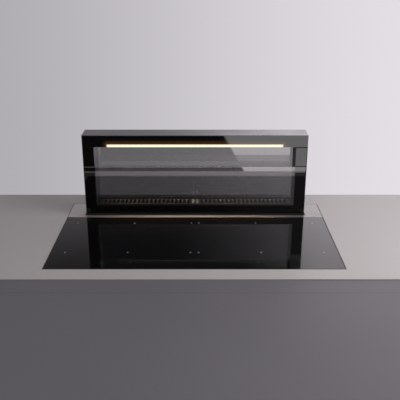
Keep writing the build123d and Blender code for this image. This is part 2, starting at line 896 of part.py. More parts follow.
# Pane rail: bar bonded behind the pane's lower edge, with a bored block in each corner notch.
block_inner = pane_half - corner_block_width
with BuildPart() as pane_rail:
    with BuildSketch(at_side(-pane_half)):
        edge_rectangle(pane_back, pane_back + rail_depth, pane_bottom, pane_bottom + rail_height)
    extrude(amount=2 * pane_half)
    for block_start in (-pane_half, block_inner):
        with BuildSketch(at_side(block_start)):
            edge_rectangle(tower_front, pane_back, pane_bottom, pane_bottom + corner_block_height)
        extrude(amount=corner_block_width)
    with BuildSketch(at_side(-pane_half)):
        with Locations((hinge_y, hinge_z)):
            Circle(hinge_pin_radius + running_fit)
    extrude(amount=2 * pane_half, mode=Mode.SUBTRACT)
pane_rail.part.label = "pane_rail"
export_step(pane_rail.part, "parts/pane_rail.step")

# Hinge pins: one from each cheek of the tower into the block of the rail.
with BuildPart() as pane_hinge_pins:
    for pin_start in (-tower_half, tower_half - tower_skin - pin_engagement):
        with BuildSketch(at_side(pin_start)):
            with Locations((hinge_y, hinge_z)):
                Circle(hinge_pin_radius)
        extrude(amount=tower_skin + pin_engagement)
pane_hinge_pins.part.label = "pane_hinge_pins"
export_step(pane_hinge_pins.part, "parts/pane_hinge_pins.step")

# Rear pane: plain sheet between the cheeks, bonded to the back of the stiles.
with BuildPart() as rear_pane:
    with BuildSketch(at_depth(rear_glass_front)):
        edge_rectangle(-pane_half, pane_half, deck_top, header_bottom)
    extrude(amount=-rear_pane_thickness)
rear_pane.part.label = "rear_pane"
export_step(rear_pane.part, "parts/rear_pane.step")

# Stiles: hollow extrusions beside the window. The outer cheek covers the edges of both panes and
# holds the hinge pin, a pocket at the foot lets the rail swing, and a raised land above the pane
# carries the glass strip.
rail_swing = math.hypot(rail_depth + front_pane_thickness / 2, hinge_height)
rail_top_swing = math.hypot(rail_depth + front_pane_thickness / 2, rail_height - hinge_height)
pocket_back = hinge_y + rail_swing + hinge_sweep_gap
pocket_top = hinge_z + rail_top_swing + hinge_sweep_gap
stile_front = fascia_back + tower_skin
stile_inner = window_half
stile_outer = tower_half - tower_skin
for side, name in ((-1, "left_stile"), (1, "right_stile")):
    near, far = sorted((side * stile_inner, side * stile_outer))
    cheek_near, cheek_far = sorted((side * stile_outer, side * tower_half))
    with BuildPart() as stile:
        with BuildSketch(at_height(deck_top)):
            edge_rectangle(near, far, stile_front, rear_glass_front)
            edge_rectangle(
                near + stile_wall,
                far - stile_wall,
                pocket_back + stile_wall,
                rear_glass_front - stile_wall,
                Mode.SUBTRACT,
            )
        extrude(amount=cap_underside - deck_top)
        with BuildSketch(at_height(pocket_top + stile_wall)):
            edge_rectangle(
                near + stile_wall,
                far - stile_wall,
                stile_front + stile_wall,
                pocket_back + stile_wall,
            )
        extrude(amount=cap_underside - pocket_top, mode=Mode.SUBTRACT)
        with BuildSketch(at_height(deck_top)):
            edge_rectangle(near, far, stile_front, pocket_back)
        extrude(amount=pocket_top - deck_top, mode=Mode.SUBTRACT)
        with BuildSketch(at_height(deck_top)):
            edge_rectangle(cheek_near, cheek_far, tower_front, tower_back)
        extrude(amount=header_bottom - deck_top)
        with BuildSketch(at_height(strip_bottom)):
            edge_rectangle(near, far, fascia_back, stile_front)
        extrude(amount=strip_top - strip_bottom)
        with BuildSketch(at_side(cheek_near)):
            with Locations((hinge_y, hinge_z)):
                Circle(hinge_pin_radius)
        extrude(amount=tower_skin, mode=Mode.SUBTRACT)
    stile.part.label = name
    export_step(stile.part, f"parts/{name}.step")

# Base frame: sheet box at the tower's foot. Its deck is the plinth under the front pane, and the
# well in the middle holds the two filters on a ledge.
well_half = window_half - frame_sheet
with BuildPart() as tower_base_frame:
    with BuildSketch(at_height(tower_foot)):
        edge_rectangle(-tower_half, tower_half, tower_front, tower_back)
    extrude(amount=deck_top - tower_foot)
    with BuildSketch(at_height(tower_foot)):
        edge_rectangle(
            frame_sheet - tower_half,
            tower_half - frame_sheet,
            tower_front + frame_sheet,
            tower_back - frame_sheet,
        )
    extrude(amount=deck_top - frame_sheet - tower_foot, mode=Mode.SUBTRACT)
    with BuildSketch(at_height(filter_seat - frame_sheet)):
        edge_rectangle(
            -window_half, window_half, well_front - frame_sheet, well_rear + frame_sheet
        )
    extrude(amount=deck_top - filter_seat + frame_sheet)
    with BuildSketch(at_height(filter_seat)):
        edge_rectangle(-well_half, well_half, well_front, well_rear)
    extrude(amount=deck_top - filter_seat, mode=Mode.SUBTRACT)
    with BuildSketch(at_height(filter_seat)):
        for west, east in (
            (seat_ledge - well_half, -centre_bar / 2),
            (centre_bar / 2, well_half - seat_ledge),
        ):
            edge_rectangle(west, east, well_front + seat_ledge, well_rear - seat_ledge)
    extrude(amount=-frame_sheet, mode=Mode.SUBTRACT)
tower_base_frame.part.label = "tower_base_frame"
export_step(tower_base_frame.part, "parts/tower_base_frame.step")

# Grease filters: steel cassettes with a row of slots in the top and in the bottom.
filter_inner_end = filter_fit
filter_outer_end = well_half - filter_fit
filter_front = well_front + filter_fit
filter_back = well_rear - filter_fit
filter_length = filter_outer_end - filter_inner_end
filter_middle = (filter_inner_end + filter_outer_end) / 2
filter_y = (filter_front + filter_back) / 2
filter_depth = filter_back - filter_front
slot_count = int((filter_length - 2 * filter_end_margin) / filter_slot_pitch)
for side, name in ((-1, "left_filter"), (1, "right_filter")):
    with BuildPart() as grease_filter:
        with BuildSketch(at_height(filter_seat)):
            with Locations((side * filter_middle, filter_y)):
                Rectangle(filter_length, filter_depth)
        extrude(amount=filter_height)
        with BuildSketch(at_height(filter_seat + filter_top_sheet)):
            with Locations((side * filter_middle, filter_y)):
                Rectangle(filter_length - 2 * filter_wall, filter_depth - 2 * filter_wall)
        extrude(amount=filter_height - 2 * filter_top_sheet, mode=Mode.SUBTRACT)
        with BuildSketch(at_height(filter_seat)):
            with Locations((side * filter_middle, filter_y)):
                with GridLocations(filter_slot_pitch, 0, slot_count, 1):
                    Rectangle(filter_slot_width, filter_depth - 2 * filter_slot_margin)
        extrude(amount=filter_height, mode=Mode.SUBTRACT)
    grease_filter.part.label = name
    export_step(grease_filter.part, f"parts/{name}.step")

# Filter packs: level sheets of expanded mesh, held between the walls of each cassette.
mesh_pitch = (filter_height - 2 * filter_top_sheet) / (mesh_layers + 1)
for side, name in ((-1, "left_filter_pack"), (1, "right_filter_pack")):
    with BuildPart() as filter_pack:
        for layer in range(mesh_layers):
            with BuildSketch(at_height(filter_seat + filter_top_sheet + (layer + 1) * mesh_pitch)):
                with Locations((side * filter_middle, filter_y)):
                    Rectangle(filter_length - 2 * filter_wall, filter_depth - 2 * filter_wall)
            extrude(amount=mesh_sheet)
    filter_pack.part.label = name
    export_step(filter_pack.part, f"parts/{name}.step")

# Filter tabs: folded steel pulls on top of each filter, side by side at the middle of the tower.
tab_y = filter_front + tab_setback
for side, name in ((-1, "left_filter_tab"), (1, "right_filter_tab")):
    with BuildPart() as filter_tab:
        with BuildSketch(at_side(side * tab_offset - tab_width / 2)):
            edge_rectangle(tab_y, tab_y + tab_sheet, filter_top, filter_top + tab_height)
            edge_rectangle(tab_y, tab_y + tab_foot, filter_top, filter_top + tab_sheet)
        extrude(amount=tab_width)
        top_corners = filter_tab.edges().filter_by(Axis.Y).group_by(Axis.Z)[-1]
        fillet(top_corners, tab_width / 4)
        with BuildSketch(at_depth(tab_y)):
            with Locations((side * tab_offset, filter_top + tab_height - tab_width / 2)):
                Circle(tab_eye_radius)
        extrude(amount=-tab_sheet, mode=Mode.SUBTRACT)
    filter_tab.part.label = name
    export_step(filter_tab.part, f"parts/{name}.step")

# Carriages: brackets on both ends of the base frame, bored for the nut and the guide rod.
bearing_bottom = bearing_top - bearing_height
arm_bottom = tower_foot + carriage_arm_lift
plate_outer = tower_half + carriage_plate
arm_front = screw_y - bearing_depth_margin
arm_back = rod_y + bearing_depth_margin
for side, name in ((-1, "left_carriage"), (1, "right_carriage")):
    plate_low, plate_high = sorted((side * tower_half, side * plate_outer))
    arm_low, arm_high = sorted((side * plate_outer, side * carriage_outer_x))
    with BuildPart() as carriage:
        with BuildSketch(at_height(tower_foot)):
            edge_rectangle(
                plate_low,
                plate_high,
                tower_front + carriage_plate,
                tower_back - carriage_plate,
            )
        extrude(amount=carriage_plate_height)
        with BuildSketch(at_height(arm_bottom)):
            edge_rectangle(arm_low, arm_high, arm_front, arm_back)
        extrude(amount=carriage_height)
        with BuildSketch(at_height(arm_bottom)):
            with Locations((side * drive_x, screw_y)):
                Circle(nut_radius)
            with Locations((side * drive_x, rod_y)):
                Circle(rod_radius + running_fit)
        extrude(amount=carriage_height, mode=Mode.SUBTRACT)
        outer_edges = carriage.edges().filter_by(Axis.Z).group_by(Axis.X)[0 if side < 0 else -1]
        fillet(outer_edges, carriage_plate)
    carriage.part.label = name
    export_step(carriage.part, f"parts/{name}.step")

# Lift nuts: flanged bronze nuts pressed up into the carriages.
nut_bottom = arm_bottom - nut_flange
with BuildPart() as lift_nuts:
    for side in (-1, 1):
        with BuildSketch(at_height(nut_bottom)):
            with Locations((side * drive_x, screw_y)):
                Circle(nut_flange_radius)
        extrude(amount=nut_flange)
        with BuildSketch(at_height(arm_bottom)):
            with Locations((side * drive_x, screw_y)):
                Circle(nut_radius)
        extrude(amount=carriage_height)
        with BuildSketch(at_height(nut_bottom)):
            with Locations((side * drive_x, screw_y)):
                Circle(screw_radius + running_fit)
        extrude(amount=nut_flange + carriage_height, mode=Mode.SUBTRACT)
lift_nuts.part.label = "lift_nuts"
export_step(lift_nuts.part, "parts/lift_nuts.step")

# Bearing blocks: one above and one below the travel on each side, on the casing's side walls.
lower_bearing_top = nut_bottom - tower_rise - travel_margin
lower_bearing_bottom = lower_bearing_top - bearing_height
with BuildPart() as screw_bearings:
    for block_z in (lower_bearing_bottom, bearing_bottom):
        for side in (-1, 1):
            low, high = sorted((side * bearing_inner_x, side * casing_wall_inside))
            with BuildSketch(at_height(block_z)):
                edge_rectangle(low, high, arm_front, arm_back)
                with Locations((side * drive_x, screw_y)):
                    Circle(journal_radius + running_fit, mode=Mode.SUBTRACT)
                with Locations((side * drive_x, rod_y)):
                    Circle(rod_radius, mode=Mode.SUBTRACT)
            extrude(amount=bearing_height)
screw_bearings.part.label = "screw_bearings"
export_step(screw_bearings.part, "parts/screw_bearings.step")

# Guide rods: ground steel, held in the bearing blocks.
for side, name in ((-1, "left_guide_rod"), (1, "right_guide_rod")):
    with BuildPart() as guide_rod:
        with BuildSketch(at_height(lower_bearing_bottom)):
            with Locations((side * drive_x, rod_y)):
                Circle(rod_radius)
        extrude(amount=bearing_top - lower_bearing_bottom)
    guide_rod.part.label = name
    export_step(guide_rod.part, f"parts/{name}.step")

# Lead screws: threaded shaft with a turned journal at each end. The lower one enters the gearbox.
screw_top = bearing_bottom - shoulder_gap
screw_bottom = lower_bearing_top + shoulder_gap
journal_end = lower_bearing_bottom - screw_end_in_gearbox
for side, name in ((-1, "left_lead_screw"), (1, "right_lead_screw")):
    with BuildPart() as lead_screw:
        with BuildSketch(at_height(journal_end)):
            with Locations((side * drive_x, screw_y)):
                Circle(journal_radius)
        extrude(amount=bearing_top - shoulder_gap - journal_end)
        with BuildSketch(at_height(screw_bottom)):
            with Locations((side * drive_x, screw_y)):
                Circle(screw_radius)
        extrude(amount=screw_top - screw_bottom)
    lead_screw.part.label = name
    export_step(lead_screw.part, f"parts/{name}.step")

# Lift motors: planetary gearbox with a hollow output under the lower bearing, and the motor can.
gearbox_bottom = lower_bearing_bottom - gearbox_height
motor_bottom = gearbox_bottom - motor_height
for side, name in ((-1, "left_lift_motor"), (1, "right_lift_motor")):
    with BuildPart() as lift_motor:
        with BuildSketch(at_height(gearbox_bottom)):
            with Locations((side * drive_x, screw_y)):
                Circle(gearbox_radius)
        extrude(amount=gearbox_height)
        with BuildSketch(at_height(gearbox_bottom)):
            with Locations((side * drive_x, screw_y)):
                Circle(motor_radius)
        extrude(amount=-motor_height)
        with BuildSketch(at_height(motor_bottom)):
            with Locations((side * drive_x, screw_y)):
                Circle(motor_boss_radius)
        extrude(amount=-motor_boss_height)
        with BuildSketch(at_height(lower_bearing_bottom)):
            with Locations((side * drive_x, screw_y)):
                Circle(journal_radius + running_fit)
        extrude(amount=-screw_end_in_gearbox - shoulder_gap, mode=Mode.SUBTRACT)
    lift_motor.part.label = name
    export_step(lift_motor.part, f"parts/{name}.step")

# Casing shell: folded sheet with back, sides, floor and a flange under the plate's rim.
with BuildPart() as casing_shell:
    with BuildSketch(at_height(casing_bottom)):
        edge_rectangle(-casing_half, casing_half, casing_front, casing_back)
    extrude(amount=rim_underside - casing_bottom)
    with BuildSketch(at_height(casing_bottom + casing_sheet)):
        edge_rectangle(
            -casing_wall_inside, casing_wall_inside, casing_front, casing_back - casing_sheet
        )
    extrude(amount=rim_underside - casing_bottom, mode=Mode.SUBTRACT)
    with BuildSketch(at_height(casing_bottom + casing_sheet)):
        edge_rectangle(-casing_half, casing_half, casing_front, casing_front + casing_sheet)
    extrude(amount=rim_underside - casing_bottom, mode=Mode.SUBTRACT)
    with BuildSketch(at_height(rim_underside)):
        edge_rectangle(
            -casing_half - side_flange,
            casing_half + side_flange,
            plate_front + plate_rim_width,
            casing_back + rear_flange,
        )
        edge_rectangle(
            -casing_half, casing_half, casing_front, casing_back, mode=Mode.SUBTRACT
        )
    extrude(amount=-casing_sheet)
casing_shell.part.label = "casing_shell"
export_step(casing_shell.part, "parts/casing_shell.step")

# Casing front panel: carries the blower, with the round inlet, and a top flange under the joint of
# glass and plate.
with BuildPart() as casing_front_panel:
    with BuildSketch(at_depth(casing_front)):
        edge_rectangle(
            -casing_half, casing_half, casing_bottom + casing_sheet, rim_underside
        )
        with Locations((0, blower_z)):
            Circle(panel_inlet_radius, mode=Mode.SUBTRACT)
    extrude(amount=-casing_sheet)
    with BuildSketch(at_height(rim_underside)):
        edge_rectangle(
            -casing_wall_inside,
            casing_wall_inside,
            casing_front + casing_sheet,
            casing_front + support_flange,
        )
    extrude(amount=-casing_sheet)
casing_front_panel.part.label = "casing_front_panel"
export_step(casing_front_panel.part, "parts/casing_front_panel.step")

# Blower scroll. Its outline is laid out with four quarter arcs, each struck from one corner of a
# small square round the impeller's axis, so that the channel widens steadily up to the outlet.
half_step = scroll_offset / 2
outlet_wall_x = half_step + scroll_first_radius
tongue_arc_radius = scroll_first_radius - 3 * scroll_offset
tongue_x = tongue_arc_radius * math.cos(math.radians(tongue_angle)) - half_step
tongue_z = -tongue_arc_radius * math.sin(math.radians(tongue_angle)) - half_step
scroll_front = casing_front - scroll_depth
outlet_bottom = blower_z - scroll_outlet_drop


def blower_plane(y):
    """Upright plane at the depth y with its origin on the impeller's axis."""
    return Plane(origin=(0, y, blower_z), x_dir=(1, 0, 0), z_dir=(0, -1, 0))


def scroll_outline(wall):
    """The air space's outline, grown by a wall, added as a face to the current sketch."""
    with BuildSketch(mode=Mode.PRIVATE) as outline:
        with BuildLine():
            CenterArc((half_step, -half_step), scroll_first_radius, 0, 90)
            CenterArc((half_step, half_step), scroll_first_radius - scroll_offset, 90, 90)
            CenterArc((-half_step, half_step), scroll_first_radius - 2 * scroll_offset, 180, 90)
            CenterArc((-half_step, -half_step), tongue_arc_radius, 270, 90 - tongue_angle)
            Polyline(
                (tongue_x, tongue_z),
                (tongue_x, -scroll_outlet_drop),
                (outlet_wall_x, -scroll_outlet_drop),
                (outlet_wall_x, -half_step),
            )
        make_face()
        tongue = outline.vertices().sort_by_distance((tongue_x, tongue_z, 0))[0]
        fillet(tongue, tongue_radius)
        if wall:
            offset(amount=wall, kind=Kind.ARC)
    add(outline.sketch)


with BuildPart() as blower_scroll:
    with BuildSketch(blower_plane(casing_front)):
        scroll_outline(scroll_wall)
    extrude(amount=scroll_depth)
    with BuildSketch(blower_plane(casing_front - scroll_wall)):
        scroll_outline(0)
    extrude(amount=scroll_depth, mode=Mode.SUBTRACT)
    with BuildSketch(at_height(outlet_bottom)):
        edge_rectangle(
            tongue_x - 2 * scroll_wall,
            outlet_wall_x + 2 * scroll_wall,
            scroll_front,
            casing_front,
        )
    extrude(amount=-2 * scroll_wall, mode=Mode.SUBTRACT)
    with BuildSketch(at_height(outlet_bottom)):
        edge_rectangle(tongue_x, outlet_wall_x, scroll_front, casing_front - scroll_wall)
    extrude(amount=scroll_wall, mode=Mode.SUBTRACT)
    with BuildSketch(blower_plane(casing_front)):
        Circle(inlet_radius + inlet_lip_radius)
    extrude(amount=scroll_wall, mode=Mode.SUBTRACT)
    with BuildSketch(Plane(origin=(0, casing_front, blower_z), x_dir=(1, 0, 0), z_dir=(0, 0, 1))):
        with BuildLine():
            Polyline(
                (inlet_radius + inlet_lip_radius, 0),
                (inlet_radius + inlet_lip_radius, -scroll_wall),
                (inlet_radius + scroll_wall, -inlet_lip),
                (inlet_radius, -inlet_lip),
                (inlet_radius, -inlet_lip_radius),
            )
            RadiusArc(
                (inlet_radius, -inlet_lip_radius),
                (inlet_radius + inlet_lip_radius, 0),
                -inlet_lip_radius,
            )
        make_face()
    revolve(axis=Axis((0, 0, blower_z), (0, 1, 0)))
blower_scroll.part.label = "blower_scroll"
export_step(blower_scroll.part, "parts/blower_scroll.step")

# Blower cover: front plate of the scroll with radial ribs and the motor's seat.
cover_back = scroll_front
with BuildPart() as blower_cover:
    with BuildSketch(blower_plane(cover_back)):
        scroll_outline(scroll_wall)
    extrude(amount=cover_sheet)
    with BuildSketch(blower_plane(cover_back - cover_sheet)):
        with PolarLocations(cover_rib_ring_radius, cover_rib_count, start_angle=cover_rib_first_angle):
            Rectangle(cover_rib_length, cover_rib_width)
    extrude(amount=cover_rib)
    with BuildSketch(blower_plane(cover_back)):
        Circle(blower_motor_radius + motor_seat_gap)
    extrude(amount=cover_sheet, mode=Mode.SUBTRACT)
    with BuildSketch(at_height(outlet_bottom)):
        edge_rectangle(
            tongue_x - 2 * scroll_wall,
            outlet_wall_x + 2 * scroll_wall,
            cover_back - cover_sheet,
            cover_back,
        )
    extrude(amount=-2 * scroll_wall, mode=Mode.SUBTRACT)
blower_cover.part.label = "blower_cover"
export_step(blower_cover.part, "parts/blower_cover.step")

# Blower motor: flanged can through the cover, with cooling fins outside and a fixed axle inside.
flange_back = cover_back - cover_sheet
motor_nose = cover_back + blower_motor_length
with BuildPart() as blower_motor:
    with BuildSketch(blower_plane(flange_back)):
        Circle(blower_motor_flange)
    extrude(amount=motor_flange_sheet)
    with BuildSketch(blower_plane(flange_back - motor_flange_sheet)):
        Circle(blower_motor_radius)
        with PolarLocations(blower_motor_radius, motor_fin_count):
            Rectangle(2 * motor_fin_height, motor_fin_width)
    extrude(amount=motor_tail)
    with BuildSketch(blower_plane(motor_nose)):
        Circle(blower_motor_radius)
    extrude(amount=blower_motor_length + cover_sheet)
    with BuildSketch(blower_plane(motor_nose + axle_length)):
        Circle(axle_radius)
    extrude(amount=axle_length)
blower_motor.part.label = "blower_motor"
export_step(blower_motor.part, "parts/blower_motor.step")

# Impeller hub: a dished disc that reaches over the motor, with a boss on the motor's axle.
disc_front = scroll_front + impeller_back_gap
disc_back = disc_front + impeller_disc
blade_end = disc_back + blade_length
hub_face = disc_front + hub_cone_rise
hub_start = motor_nose + hub_gap
with BuildPart() as impeller_hub:
    with BuildSketch(Plane(origin=(0, 0, blower_z), x_dir=(1, 0, 0), z_dir=(0, 0, 1))):
        with BuildLine():
            Polyline(
                (axle_radius + running_fit, hub_start),
                (axle_radius + running_fit, hub_face + impeller_disc),
                (hub_radius, hub_face + impeller_disc),
                (impeller_inner, disc_back),
                (impeller_radius, disc_back),
                (impeller_radius, disc_front),
                (impeller_inner, disc_front),
                (hub_radius, hub_face),
                (hub_boss_radius, hub_face),
                (hub_boss_radius, hub_start),
                (axle_radius + running_fit, hub_start),
            )
        make_face()
    revolve(axis=Axis((0, 0, blower_z), (0, 1, 0)))
impeller_hub.part.label = "impeller_hub"
export_step(impeller_hub.part, "parts/impeller_hub.step")

# Impeller blades: forward-curved sheet blades that stand on the rim of the hub.
blade_turn = math.radians(-blade_sweep_angle)
blade_tip_radius = impeller_radius - blade_thickness
blade_root_radius = impeller_inner + blade_thickness
with BuildPart() as impeller_blades:
    with BuildSketch(blower_plane(blade_end)):
        with PolarLocations(0, blade_count):
            with BuildSketch(mode=Mode.PRIVATE) as blade:
                with BuildLine():
                    root = (blade_root_radius, 0)
                    tip = (
                        blade_tip_radius * math.cos(blade_turn),
                        blade_tip_radius * math.sin(blade_turn),
                    )
                    camber = RadiusArc(root, tip, blade_arc_radius)
                    offset(camber, amount=blade_thickness, side=Side.LEFT, kind=Kind.INTERSECTION)
                make_face()
            add(blade.sketch)
    extrude(amount=blade_length)
impeller_blades.part.label = "impeller_blades"
export_step(impeller_blades.part, "parts/impeller_blades.step")

# Impeller ring: ties the blades together at the inlet.
with BuildPart() as impeller_ring:
    with BuildSketch(blower_plane(blade_end + ring_length)):
        Circle(impeller_radius)
        Circle(impeller_radius - ring_width, mode=Mode.SUBTRACT)
    extrude(amount=ring_length)
impeller_ring.part.label = "impeller_ring"
export_step(impeller_ring.part, "parts/impeller_ring.step")

# Outlet collar: flange under the scroll, a transition from the square outlet to the round duct, and
# a spigot with a bead at its end. A ledge inside stops the flaps.
outlet_left = tongue_x
outlet_right = outlet_wall_x
outlet_back = casing_front - scroll_wall
collar_x = (outlet_left + outlet_right) / 2
collar_y = casing_front - collar_back_gap - duct_radius
flange_bottom = outlet_bottom - collar_flange
spigot_top = flange_bottom - transition_height
spigot_bore = duct_radius - collar_wall
flap_z = spigot_top - flap_axis_drop
flap_top = flap_z + flap_sheet / 2


with BuildPart() as outlet_collar:
    with BuildSketch(at_height(flange_bottom)):
        edge_rectangle(
            outlet_left - collar_flange_width,
            outlet_right + collar_flange_width,
            scroll_front - collar_flange,
            casing_front,
        )
        edge_rectangle(
            outlet_left, outlet_right, scroll_front, outlet_back, Mode.SUBTRACT, outlet_corner
        )
    extrude(amount=collar_flange)
    for wall, mode in ((collar_wall, Mode.ADD), (0, Mode.SUBTRACT)):
        with BuildSketch(at_height(flange_bottom)):
            edge_rectangle(
                outlet_left - wall,
                outlet_right + wall,
                scroll_front - wall,
                outlet_back + wall,
                radius=outlet_corner + wall,
            )
        with BuildSketch(at_height(spigot_top)):
            with Locations((collar_x, collar_y)):
                Circle(spigot_bore + wall)
        loft(mode=mode)
        with BuildSketch(at_height(spigot_top)):
            with Locations((collar_x, collar_y)):
                Circle(spigot_bore + wall)
        extrude(amount=-collar_length, mode=mode)
    with BuildSketch(at_height(spigot_top)):
        with Locations((collar_x, collar_y)):
            Circle(spigot_bore)
            Circle(spigot_bore - flap_ledge, mode=Mode.SUBTRACT)
            Rectangle(
                2 * (flap_axis_offset + flap_knuckle_radius + flap_edge_gap),
                2 * duct_radius,
                mode=Mode.SUBTRACT,
            )
    extrude(amount=flap_top + flap_edge_gap - spigot_top)
    with BuildSketch(at_depth(collar_y - duct_radius)):
        with Locations((collar_x, flap_z)):
            with GridLocations(2 * flap_axis_offset, 0, 2, 1):
                Circle(flap_pivot_radius + running_fit)
    extrude(amount=-2 * duct_radius, mode=Mode.SUBTRACT)
outlet_collar.part.label = "outlet_collar"
export_step(outlet_collar.part, "parts/outlet_collar.step")

# Non-return flaps: two half discs that hang from pivots across the spigot's middle.
flap_radius = spigot_bore - flap_edge_gap
pivot_length = 2 * math.sqrt(duct_radius**2 - (flap_axis_offset + flap_pivot_radius) ** 2)
knuckle_length = 2 * (spigot_bore - flap_ledge - flap_edge_gap)
for side, name in ((-1, "left_flap"), (1, "right_flap")):
    axis_x = collar_x + side * flap_axis_offset
    with BuildPart() as flap:
        with BuildSketch(at_height(flap_z - flap_sheet / 2)):
            with Locations((collar_x, collar_y)):
                Circle(flap_radius)
            with Locations((axis_x - side * duct_radius, collar_y)):
                Rectangle(2 * duct_radius, 2 * duct_radius, mode=Mode.SUBTRACT)
        extrude(amount=flap_sheet)
        with BuildSketch(at_depth(collar_y - knuckle_length / 2)):
            with Locations((axis_x, flap_z)):
                Circle(flap_knuckle_radius)
        extrude(amount=-knuckle_length)
        with BuildSketch(at_depth(collar_y - pivot_length / 2)):
            with Locations((axis_x, flap_z)):
                Circle(flap_pivot_radius)
        extrude(amount=-pivot_length)
    flap.part.label = name
    export_step(flap.part, f"parts/{name}.step")

# Control box of the extractor: plastic housing with a lid seam and two cable entries.
control_back = casing_front
control_front = control_back - control_box_depth
with BuildPart() as control_box:
    with BuildSketch(at_height(control_box_top - control_box_height)):
        with Locations((control_box_x, (control_front + control_back) / 2)):
            Rectangle(control_box_width, control_box_depth)
    extrude(amount=control_box_height)
    front_edges = control_box.faces().sort_by(Axis.Y)[0].edges()
    fillet(front_edges, control_box_lid)
    seam_y = control_front + 2 * control_box_lid
    with BuildSketch(at_depth(seam_y)):
        with Locations((control_box_x, control_box_top - control_box_height / 2)):
            Rectangle(control_box_width, control_box_height)
            Rectangle(
                control_box_width - 2 * control_box_groove,
                control_box_height - 2 * control_box_groove,
                mode=Mode.SUBTRACT,
            )
    extrude(amount=-control_box_groove, mode=Mode.SUBTRACT)
    with BuildSketch(at_height(control_box_top - control_box_height)):
        with Locations((control_box_x, (seam_y + control_back) / 2)):
            with GridLocations(control_entry_pitch, 0, 2, 1):
                Circle(control_entry_radius)
    extrude(amount=control_entry_depth, mode=Mode.SUBTRACT)
control_box.part.label = "control_box"
export_step(control_box.part, "parts/control_box.step")
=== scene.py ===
import bpy
import bmesh
import math
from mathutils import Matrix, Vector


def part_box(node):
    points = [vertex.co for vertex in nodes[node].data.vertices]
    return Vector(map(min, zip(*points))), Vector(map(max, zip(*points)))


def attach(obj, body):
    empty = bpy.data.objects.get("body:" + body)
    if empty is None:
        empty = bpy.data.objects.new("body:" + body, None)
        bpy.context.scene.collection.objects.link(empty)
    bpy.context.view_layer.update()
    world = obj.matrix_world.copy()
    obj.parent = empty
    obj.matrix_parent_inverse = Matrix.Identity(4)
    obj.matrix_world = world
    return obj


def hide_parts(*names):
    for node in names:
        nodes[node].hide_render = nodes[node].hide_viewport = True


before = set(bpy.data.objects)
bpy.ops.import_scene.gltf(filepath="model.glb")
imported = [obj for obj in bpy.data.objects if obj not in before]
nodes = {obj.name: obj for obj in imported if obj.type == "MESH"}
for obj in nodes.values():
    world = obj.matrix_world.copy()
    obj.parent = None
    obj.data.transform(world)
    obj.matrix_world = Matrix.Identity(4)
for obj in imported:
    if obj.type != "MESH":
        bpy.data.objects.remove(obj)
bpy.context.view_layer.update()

# Camera: a normal lens above the cook's place, aimed down at the hob so that the raised tower
# stands in front of a plain wall.


def add_object(name, data):
    """A new object in the scene, from a mesh, a lamp or a lens."""
    added = bpy.data.objects.new(name, data)
    bpy.context.scene.collection.objects.link(added)
    return added


degrees_down = 21.01
lens = bpy.data.cameras.new("camera")
lens.sensor_width = 36.0
lens.lens = 58.81
camera = add_object("camera", lens)
camera.location = (0.0169, -1.9538, 0.8709)
camera.rotation_euler = (math.radians(90 - degrees_down), 0, 0)
bpy.context.scene.camera = camera

# Ceramic glass: one sheet of black glass ceramic, rolled, ground along its edge and polished.
# Its finish shows a faint film of wiping and a few fine specks.


def linear(*levels):
    """A colour from display levels 0 to 255, with full alpha."""
    scaled = [level / 255 for level in levels]
    return (*[c / 12.92 if c < 0.04045 else ((c + 0.055) / 1.055) ** 2.4 for c in scaled], 1.0)


class Wire:
    """One output of a node tree. Arithmetic on it adds Math nodes."""

    def __init__(self, tree, socket):
        self.tree = tree
        self.socket = socket

    def maths(self, operation, first, second=0.0):
        return self.tree.node("ShaderNodeMath", {"operation": operation}, {0: first, 1: second})

    def __add__(self, other):
        return self.maths("ADD", self, other)

    def __radd__(self, other):
        return self.maths("ADD", other, self)

    def __sub__(self, other):
        return self.maths("SUBTRACT", self, other)

    def __rsub__(self, other):
        return self.maths("SUBTRACT", other, self)

    def __mul__(self, other):
        return self.maths("MULTIPLY", self, other)

    def __rmul__(self, other):
        return self.maths("MULTIPLY", other, self)

    def __truediv__(self, other):
        return self.maths("DIVIDE", self, other)

    def __gt__(self, other):
        return self.maths("GREATER_THAN", self, other)

    def __lt__(self, other):
        return self.maths("LESS_THAN", self, other)

    def __mod__(self, other):
        return self.maths("FLOORED_MODULO", self, other)

    def __abs__(self):
        return self.maths("ABSOLUTE", self)


class Tree:
    """A node tree. node adds one node: its type, then its settings, then its socket values."""

    def __init__(self, blender_tree):
        self.nodes = blender_tree.nodes
        self.links = blender_tree.links

    def feed(self, socket, value):
        if isinstance(value, Wire):
            self.links.new(value.socket, socket)
        else:
            socket.default_value = value

    def node(self, kind, settings, values, output=0):
        added = self.nodes.new(kind)
        for key, value in settings.items():
            setattr(added, key, value)
        for key, value in values.items():
            self.feed(added.inputs[key], value)
        return Wire(self, added.outputs[output])

    def ramp(self, value, low, high, start=0.0, end=1.0, smooth=True):
        """value's range from low to high spread over start to end, and clamped."""
        settings = {"interpolation_type": "SMOOTHSTEP" if smooth else "LINEAR"}
        values = {"Value": value, 1: low, 2: high, 3: start, 4: end}
        return self.node("ShaderNodeMapRange", settings, values)

    def mix(self, factor, first, second):
        return self.node("ShaderNodeMix", {"data_type": "RGBA"}, {0: factor, 6: first, 7: second}, 2)


